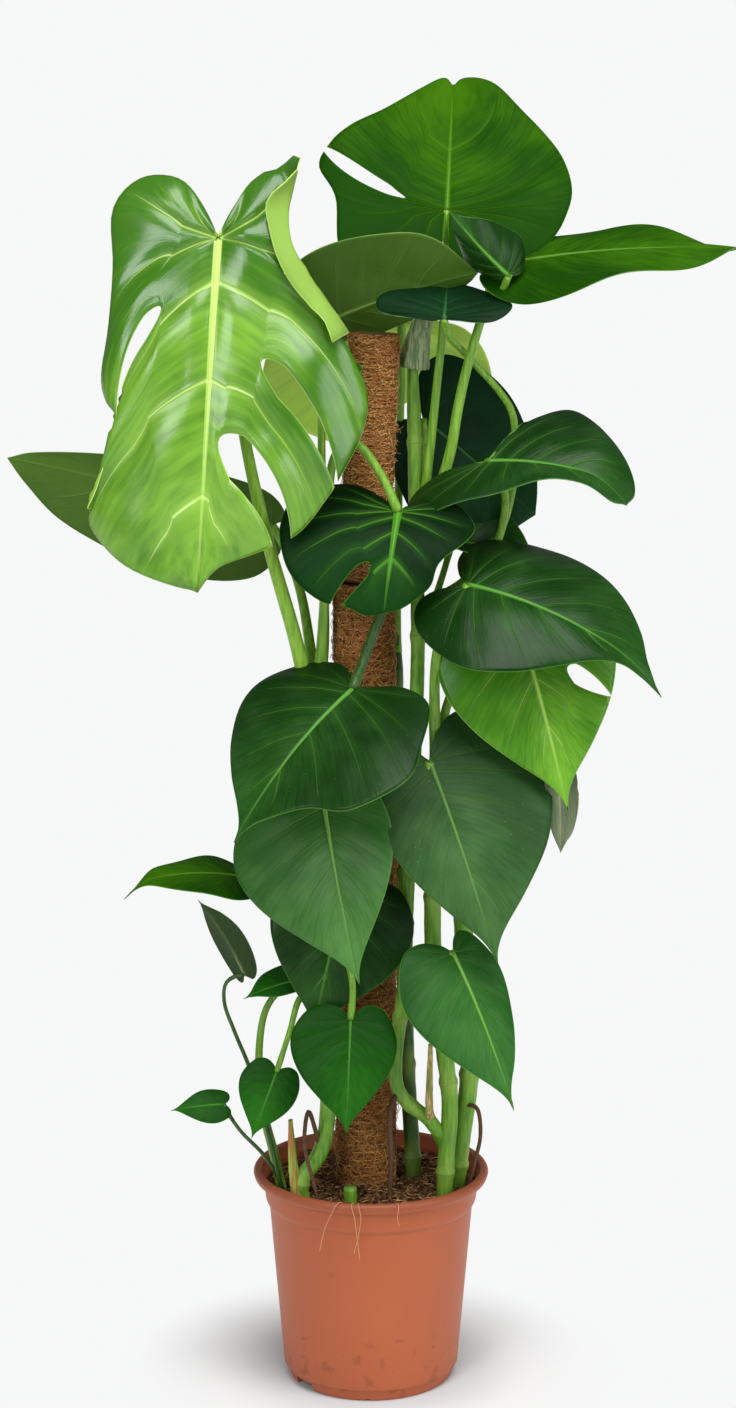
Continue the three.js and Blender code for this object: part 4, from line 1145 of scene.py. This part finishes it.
LIME_RIBS = [0.1, 0.22, 0.36, 0.6, 0.76, 0.9]
NARROW = [(0, 0), (-7, 8), (2, 16), (24, 20), (46, 19), (64, 13), (76, 6), (84, 1.5), (90, 0)]
grow(
    "leaf_lime_split", "lime", (-144, -60, 1157), (-164, -108, 830), (0, -1, 0.15), arch=22,
    fold=8, cup=36, base=0.45, bow=0.3, quilt=5, wave=5, uneven=7, fine=1.5, slot="lime_leaf",
    stalk_skin="lime",
    right_slits=[(0.467, 0.4, 0.01, 0.5), (0.69, 0.28, 0.028, 0.7), (0.83, 0.1, 0.03, 0.45)],
    left_slits=[(0.5625, 0.36, 0.036, 0.9)], ribs=LIME_RIBS,
    rolls=[(1, 0.16, 0.27, 0.467, (0.76, 0.9), 172, (20, 15))], stem=("stem_left", 650),
    radius=(8, 4),
    right=[(0, 0), (-30, 12), (-62, 30), (-84, 64), (-42, 78), (18, 90), (62, 112), (103, 136),
           (134, 153), (172, 149), (216, 129), (242, 116), (276, 92), (294, 58), (312, 18),
           (336, 0)],
    left=[(0, 0), (-32, 16), (-58, 42), (-57, 76), (-26, 102), (30, 100), (90, 103), (135, 107),
          (160, 98), (177, 85), (204, 92), (246, 102), (276, 112), (296, 97), (316, 68),
          (330, 28), (336, 0)],
    stalk=[(-60, -30, 700), (-72, -33, 762), (-100, -46, 868), (-120, -44, 960),
           (-138, -38, 1080), (-146, -46, 1140)],
)
grow(
    "leaf_top", "top", (73, 10, 1181), (81, 108, 1298), (0, -0.75, 0.65), arch=14, fold=8, cup=8,
    base=0.55, bow=0.4, quilt=1.6, wave=3, fine=1.3, right_slits=[(0.52, 0.3, 0.06, 0.85)],
    stem=("stem_main", 880), radius=(5, 3.2),
    right=[(0, 0), (-46, 7), (-68, 48), (-58, 98), (4, 108), (40, 126), (66, 117), (88, 98),
           (112, 70), (146, 36), (163, 10), (156, 0)],
    left=[(0, 0), (-50, 8), (-64, 50), (-46, 86), (-30, 102), (-8, 114), (22, 120), (60, 110),
          (93, 91), (126, 64), (154, 38), (165, 10), (156, 0)],
    stalk=[(50, 10, 895), (57, 6, 945), (64, 6, 1013), (69, 8, 1062), (72, 10, 1120)],
)
grow(
    "leaf_twisted_right", "top", (120, -20, 1130), (359, -48, 1146), (0, -0.62, 0.78), fold=4,
    cup=16, twist=-24, wave=7, waves=2.5, fine=1.2, stem=("stem_main", 865), radius=(6, 4),
    right=[(0, 0), (-10, 14), (-2, 30), (26, 42), (70, 48), (120, 44), (170, 34), (215, 18),
           (243, 0)],
    left=[(0, 0), (-14, 16), (-4, 40), (30, 58), (80, 62), (130, 50), (180, 36), (218, 18),
          (243, 0)],
    stalk=[(54, 4, 880), (66, -6, 910), (78, -12, 955), (84, -16, 993), (94, -18, 1038),
           (108, -20, 1087)],
)
grow(
    "leaf_curled", "dark", (130, -60, 1122), (68, -75, 1190), (-0.4, -0.9, 0.1), arch=40,
    fold=-20, cup=50, radius=(3, 3), right=heart(90, 38), left=heart(90, 38),
    stalk=[(112, -22, 1102), (124, -44, 1108)],
)
grow(
    "leaf_seen_from_below", "olive", (-36, 4, 1078), (102, -38, 1124), (0, 0.8, 0.6), arch=16,
    fold=4, cup=12, stem=("stem_left", 728), radius=(5, 3.5),
    right=[(0, 0), (-10, 14), (0, 30), (30, 36), (70, 34), (110, 26), (136, 12), (152, 0)],
    left=[(0, 0), (-16, 20), (-24, 50), (-8, 76), (30, 84), (74, 82), (108, 68), (132, 44),
          (146, 18), (152, 0)],
    stalk=[(-46, -14, 765), (-47, -6, 870), (-48, 2, 983), (-44, 8, 1045)],
)
grow(
    "leaf_dark_edge_on", "shade", (69, -62, 1082), (74, -8, 1112), (0, -0.35, 0.94), fold=14,
    stem=("stem_main", 790), radius=(4.5, 3), right=heart(63, 66), left=heart(63, 64),
    stalk=[(64, 2, 797), (96, 14, 824), (124, 26, 858), (139, 32, 905), (142, 30, 950),
           (138, 22, 985), (124, 12, 1008), (104, 4, 1030), (88, -8, 1048), (74, -40, 1064)],
)
# Its pale greens paint in the light that shines through it from behind.
grow(
    "leaf_lime_behind", "painted_backlight", (30, 64, 1070), (0, 198, 925), (0, 1, 0.4), arch=30, fold=4,
    cup=14, slot="lime_leaf", stem=("stem_dark", 745), radius=(5, 3.5),
    right=[(0, 0), (-16, 30), (-10, 70), (20, 104), (64, 122), (110, 126), (150, 116), (180, 88),
           (192, 50), (194, 20), (190, 0)],
    left=[(0, 0), (-14, 24), (-8, 56), (20, 84), (60, 102), (86, 104), (100, 86), (110, 56),
          (124, 28), (160, 10), (190, 0)],
    stalk=[(26, 56, 820), (28, 62, 930), (30, 60, 1020)],
)
grow(
    "leaf_dark_behind", "shade", (52, 60, 975), (164, 48, 880), (0.1, -0.95, 0.3), arch=16,
    cup=12, stem=("stem_main", 900), radius=(4.5, 3.5),
    right=[(0, 0), (-20, 14), (-34, 40), (-24, 66), (10, 78), (50, 74), (90, 56), (120, 34),
           (147, 0)],
    left=[(0, 0), (-18, 18), (-12, 46), (20, 66), (60, 84), (96, 88), (120, 66), (136, 34),
          (147, 0)],
    stalk=[(48, 34, 915), (52, 50, 945)],
)
grow(
    "leaf_glossy_right", "dark", (112, -30, 943), (238, -62, 926), (0, -0.62, 0.78), arch=34,
    fold=12, cup=30, droop=14, stem=("stem_main", 780), radius=(5, 3.5),
    right=[(0, 0), (10, 12), (20, 40), (38, 68), (60, 80), (84, 74), (108, 58), (130, 38),
           (143, 20), (140, 0)],
    left=[(0, 0), (-40, 8), (-72, 26), (-76, 50), (-46, 62), (-8, 52), (28, 42), (66, 24),
          (104, 18), (128, 14), (140, 0)],
    stalk=[(60, -6, 800), (92, 0, 822), (122, 6, 856), (131, 4, 890), (128, -8, 920)],
)
grow(
    "leaf_behind_right_heart", "dark", (80, 20, 858), (168, 18, 838), (0, -0.45, 0.9), fold=32,
    cup=14, stem=("stem_main", 760), radius=(4, 3), right=heart(92, 52), left=heart(92, 40),
    stalk=[(58, -2, 790), (72, 12, 830)],
)
grow(
    "leaf_right_heart", "dark", (93, -60, 827), (272, -100, 742), (0.2, -0.7, 0.7), arch=46,
    fold=4, cup=30, droop=10, quilt=1, wave=3, fine=1.2, stem=("stem_right", 645), radius=(6, 4),
    right=[(0, 0), (-16, 13), (-26, 36), (-18, 63), (11, 82), (43, 90), (80, 87), (116, 74),
           (150, 56), (174, 38), (190, 14), (203, 4), (216, 0)],
    left=[(0, 0), (-22, 12), (-38, 36), (-28, 64), (8, 84), (44, 90), (80, 78), (114, 54),
          (144, 28), (172, 12), (198, 4), (216, 0)],
    stalk=[(62, -42, 700), (66, -56, 770)],
)
grow(
    "leaf_bright_low_right", "bright", (140, -34, 798), (192, -66, 606), (0.1, -0.95, 0.3),
    arch=22, cup=18, slot="lime_leaf", right_slits=[(0.63, 0.45, 0.028, 0.95)],
    stem=("stem_right", 640), radius=(5, 3.5), right=heart(204, 88), left=heart(204, 90),
    stalk=[(74, -26, 700), (98, -22, 755), (124, -26, 792)],
)
grow(
    "leaf_front_heart", "dark", (-18, -84, 729), (-122, -176, 612), (-0.2, -0.5, 0.8), arch=30,
    cup=22, quilt=1.2, fine=1.2, stalk_skin="dark", stem=("stem_main", 850), radius=(6, 4.5),
    right=heart(198, 118, 0.12, 0.3), left=heart(198, 96),
    stalk=[(26, -36, 835), (9, -48, 795), (-8, -66, 752)],
)
grow(
    "leaf_lower_left_heart", "soft", (-46, -78, 618), (-12, -132, 453), (-0.3, -0.8, 0.5),
    arch=22, quilt=1.2, stem=("stem_left", 565), radius=(6, 4.5), right=heart(184, 62),
    left=heart(184, 102), stalk=[(-50, -56, 575), (-50, -68, 598)],
)
grow(
    "leaf_low_right_heart", "grey", (57, -62, 653), (122, -124, 466), (0.2, -0.9, 0.4), cup=16,
    quilt=1.2, fine=1.2, stem=("stem_main", 600), radius=(6, 4.5), right=heart(210, 110, 0.2),
    left=heart(210, 70), stalk=[(44, -52, 612), (52, -60, 636)],
)
grow(
    "leaf_behind_lower_left", "dark", (-26, -54, 522), (-58, -84, 384), (0, -0.95, 0.3), cup=16,
    stem=("stem_left", 470), radius=(4.5, 3.5), right=heart(146, 76), left=heart(146, 66),
    stalk=[(-38, -50, 480), (-30, -54, 505)],
)
grow(
    "leaf_side_left", "top", (-124, -34, 530), (-240, -66, 530), (-0.1, -0.3, 0.95), arch=34,
    fold=8, cup=24, droop=12, stem=("stem_left", 495), radius=(4, 3), right=heart(124, 44),
    left=heart(124, 40), stalk=[(-60, -34, 500), (-92, -32, 522)],
)
grow(
    "leaf_right_small_heart", "mid", (80, -88, 468), (137, -140, 328), (0.35, -0.85, 0.4),
    arch=22, stem=("stem_right", 415), radius=(5, 3.5), right=heart(165, 40), left=heart(165, 70),
    stalk=[(66, -60, 426), (72, -78, 453)],
)
grow(
    "leaf_small_heart_centre", "young", (-20, -98, 404), (-24, -126, 296), (0, -0.92, 0.4),
    cup=18, fine=0.8, stem=("stem_left", 415), radius=(4, 3), right=heart(114, 46),
    left=heart(114, 58), stalk=[(-38, -62, 452), (-24, -86, 460), (-18, -98, 438)],
)
grow(
    "leaf_small_heart_left", "young", (-93, -78, 344), (-118, -94, 280), (0, -0.95, 0.3), arch=18,
    cup=18, wave=1, fine=0.8, stem=("stem_left", 400), radius=(3.5, 2.5), right=heart(71, 28),
    left=heart(71, 32), stalk=[(-56, -48, 418), (-70, -60, 414), (-80, -72, 384)],
)
grow(
    "leaf_tiny_left", "young", (-146, -62, 305), (-198, -66, 300), (0.1, -0.75, 0.65), arch=26,
    quilt=0.3, wave=0.6, fine=0.7, stalk_skin="dark", radius=(2.2, 1.8), right=heart(54, 19),
    left=heart(54, 18),
    stalk=[(-80, -34, 180), (-94, -40, 222), (-108, -48, 248), (-130, -56, 275), (-142, -60, 295)],
)
grow(
    "leaf_narrow_left", "dull", (-126, -40, 432), (-170, -42, 508), (0.3, 0.8, 0.5), arch=26,
    fold=20, cup=14, quilt=0.3, wave=0, uneven=0, fine=0.8, stalk_skin="dark", radius=(2.5, 1.8),
    right=NARROW, left=NARROW,
    stalk=[(-84, -44, 180), (-98, -48, 250), (-110, -48, 300), (-122, -46, 340), (-136, -44, 375),
           (-146, -42, 405), (-144, -41, 424), (-134, -40, 431)],
)
grow(
    "leaf_low_left", "young", (-73, -52, 430), (-126, -64, 414), (-0.1, -0.5, 0.85), arch=24,
    fold=8, cup=16, quilt=0.4, wave=1, fine=0.7, radius=(5.5, 3), right=heart(57, 16),
    left=heart(57, 26),
    stalk=[(-86, -28, 180), (-96, -32, 236), (-108, -34, 289), (-112, -36, 350), (-104, -40, 398),
           (-86, -46, 422)],
)
grow(
    "leaf_far_left", "olive", (-98, 34, 872), (-360, 44, 938), (0, 0.97, 0.25), fold=2, cup=14,
    stem=("stem_left", 700), radius=(6, 4),
    right=[(0, 0), (-12, 14), (10, 32), (60, 38), (120, 34), (163, 28), (214, 20), (250, 10),
           (272, 0)],
    left=[(0, 0), (-14, 24), (6, 58), (60, 76), (120, 76), (163, 68), (214, 50), (248, 24),
          (272, 0)],
    stalk=[(-58, -12, 745), (-70, 14, 810), (-86, 30, 852)],
)
grow(
    "leaf_dark_split", "darkest", (26, -62, 898), (12, -108, 806), (0, -0.85, 0.5), arch=60,
    fold=4, cup=14, base=0.5, quilt=1.2, left_slits=[(0.78, 0.35, 0.035, 0.5)],
    stem=("stem_left", 735), radius=(5, 4),
    right=[(0, 0), (-18, 14), (-27, 34), (-25, 56), (0, 75), (26, 68), (54, 46), (78, 40),
           (100, 18), (108, 0)],
    left=[(0, 0), (-18, 16), (-34, 46), (-32, 76), (-10, 102), (30, 110), (64, 103), (88, 88),
          (104, 62), (106, 36), (112, 16), (108, 0)],
    stalk=[(-46, -30, 800), (-42, -36, 880), (-34, -38, 950), (-16, -44, 962), (8, -54, 935)],
)
grow(
    "leaf_withered", "withered", (172, -30, 700), (186, -52, 560), (0.6, -0.8, 0.1), arch=24,
    fold=30, cup=40, twist=60, quilt=0, wave=1.5, uneven=1, fine=0.8, stem=("stem_outer", 560),
    radius=(3, 2),
    right=[(0, 0), (-4, 6), (20, 11), (56, 16), (92, 18), (118, 14), (132, 7), (140, 2), (144, 0)],
    left=[(0, 0), (-4, 5), (20, 9), (56, 12), (92, 13), (118, 10), (132, 5), (140, 1.5), (144, 0)],
    stalk=[(96, -8, 600), (128, -14, 668), (156, -20, 704)],
)

# Studio. A pale floor that fades into the background, with a painted shadow darkening it round the
# pot, wide soft lights above, at the front left and at the right, and a camera at about the height
# of the top leaves.
BACKDROP = (0.93, 0.935, 0.935, 1)
# The first floor colour is the painted shadow near the pot; the second is the floor's own pale
# colour.
PAINTED_SHADOW, PALE = (0.7, 0.75, 0.77, 1), (0.93, 0.95, 0.96, 1)
FLOOR_RADIUS = 30000

floor_finish = Finish("studio floor", roughness=0.9, specular_ior_level=0)
x, y = [floor_finish.part(floor_finish.here(), axis) for axis in "XY"]
distance = (x * x + y * y).math("SQRT")
# The floor's colour is darker within about 0.17 m of the pot: a painted contact shadow.
shadow_painted_floor = floor_finish.mix(floor_finish.step(distance, 0.08, 0.17), PAINTED_SHADOW, PALE)
floor_finish.set(base_color=shadow_painted_floor)
glow = floor_finish.node("Emission", {}, {"Color": BACKDROP, "Strength": 1})
lit = Signal(floor_finish, floor_finish.shader.outputs[0])
far = floor_finish.step(distance, 0.11, 0.27)
faded = floor_finish.node("MixShader", {}, {0: far, 1: lit, 2: glow})
output = floor_finish.tree.nodes["Material Output"]
floor_finish.feed(output.inputs["Surface"], faded)

bm = bmesh.new()
bmesh.ops.create_circle(bm, cap_ends=True, segments=64, radius=FLOOR_RADIUS)
floor = placed("studio_floor", meshed("studio floor", bm, [floor_finish]))

SURROUND = 0.26
world = bpy.data.worlds.new("studio")
world.use_nodes = True
tree = world.node_tree
seen = tree.nodes.new("ShaderNodeLightPath")
strength = tree.nodes.new("ShaderNodeMapRange")
strength.inputs["To Min"].default_value = SURROUND
tree.links.new(seen.outputs["Is Camera Ray"], strength.inputs["Value"])
tree.links.new(strength.outputs[0], tree.nodes["Background"].inputs["Strength"])
tree.nodes["Background"].inputs["Color"].default_value = BACKDROP
bpy.context.scene.world = world

# Each light's place, the height that it aims at, its width and its power, in metres and watts.
LIGHTS = {
    "top light": ((0.4, -1.6, 3.4), 0.6, 2.2, 80),
    "front light": ((-1.6, -3.2, 2.3), 0.8, 1.6, 46),
    "right light": ((2.6, -1.8, 1.5), 0.6, 2.0, 34),
}
for name, (place, aim, width, watts) in LIGHTS.items():
    lamp = bpy.data.lights.new(name, "AREA")
    lamp.shape, lamp.size, lamp.energy = "DISK", width, watts
    holder = placed(name, lamp)
    holder.location = place
    heading = Vector((0, 0, aim)) - Vector(place)
    holder.rotation_euler = heading.to_track_quat("-Z", "Y").to_euler()

CAMERA_DIP = 10.86
camera = bpy.data.cameras.new("camera")
camera.lens = 78.88
camera.sensor_width = 36
viewer = placed("camera", camera)
viewer.location = (-0.003, -3.0, 1.274)
viewer.rotation_euler = (math.radians(90 - CAMERA_DIP), 0, 0)
bpy.context.scene.camera = viewer
bpy.context.scene.view_settings.view_transform = "Standard"
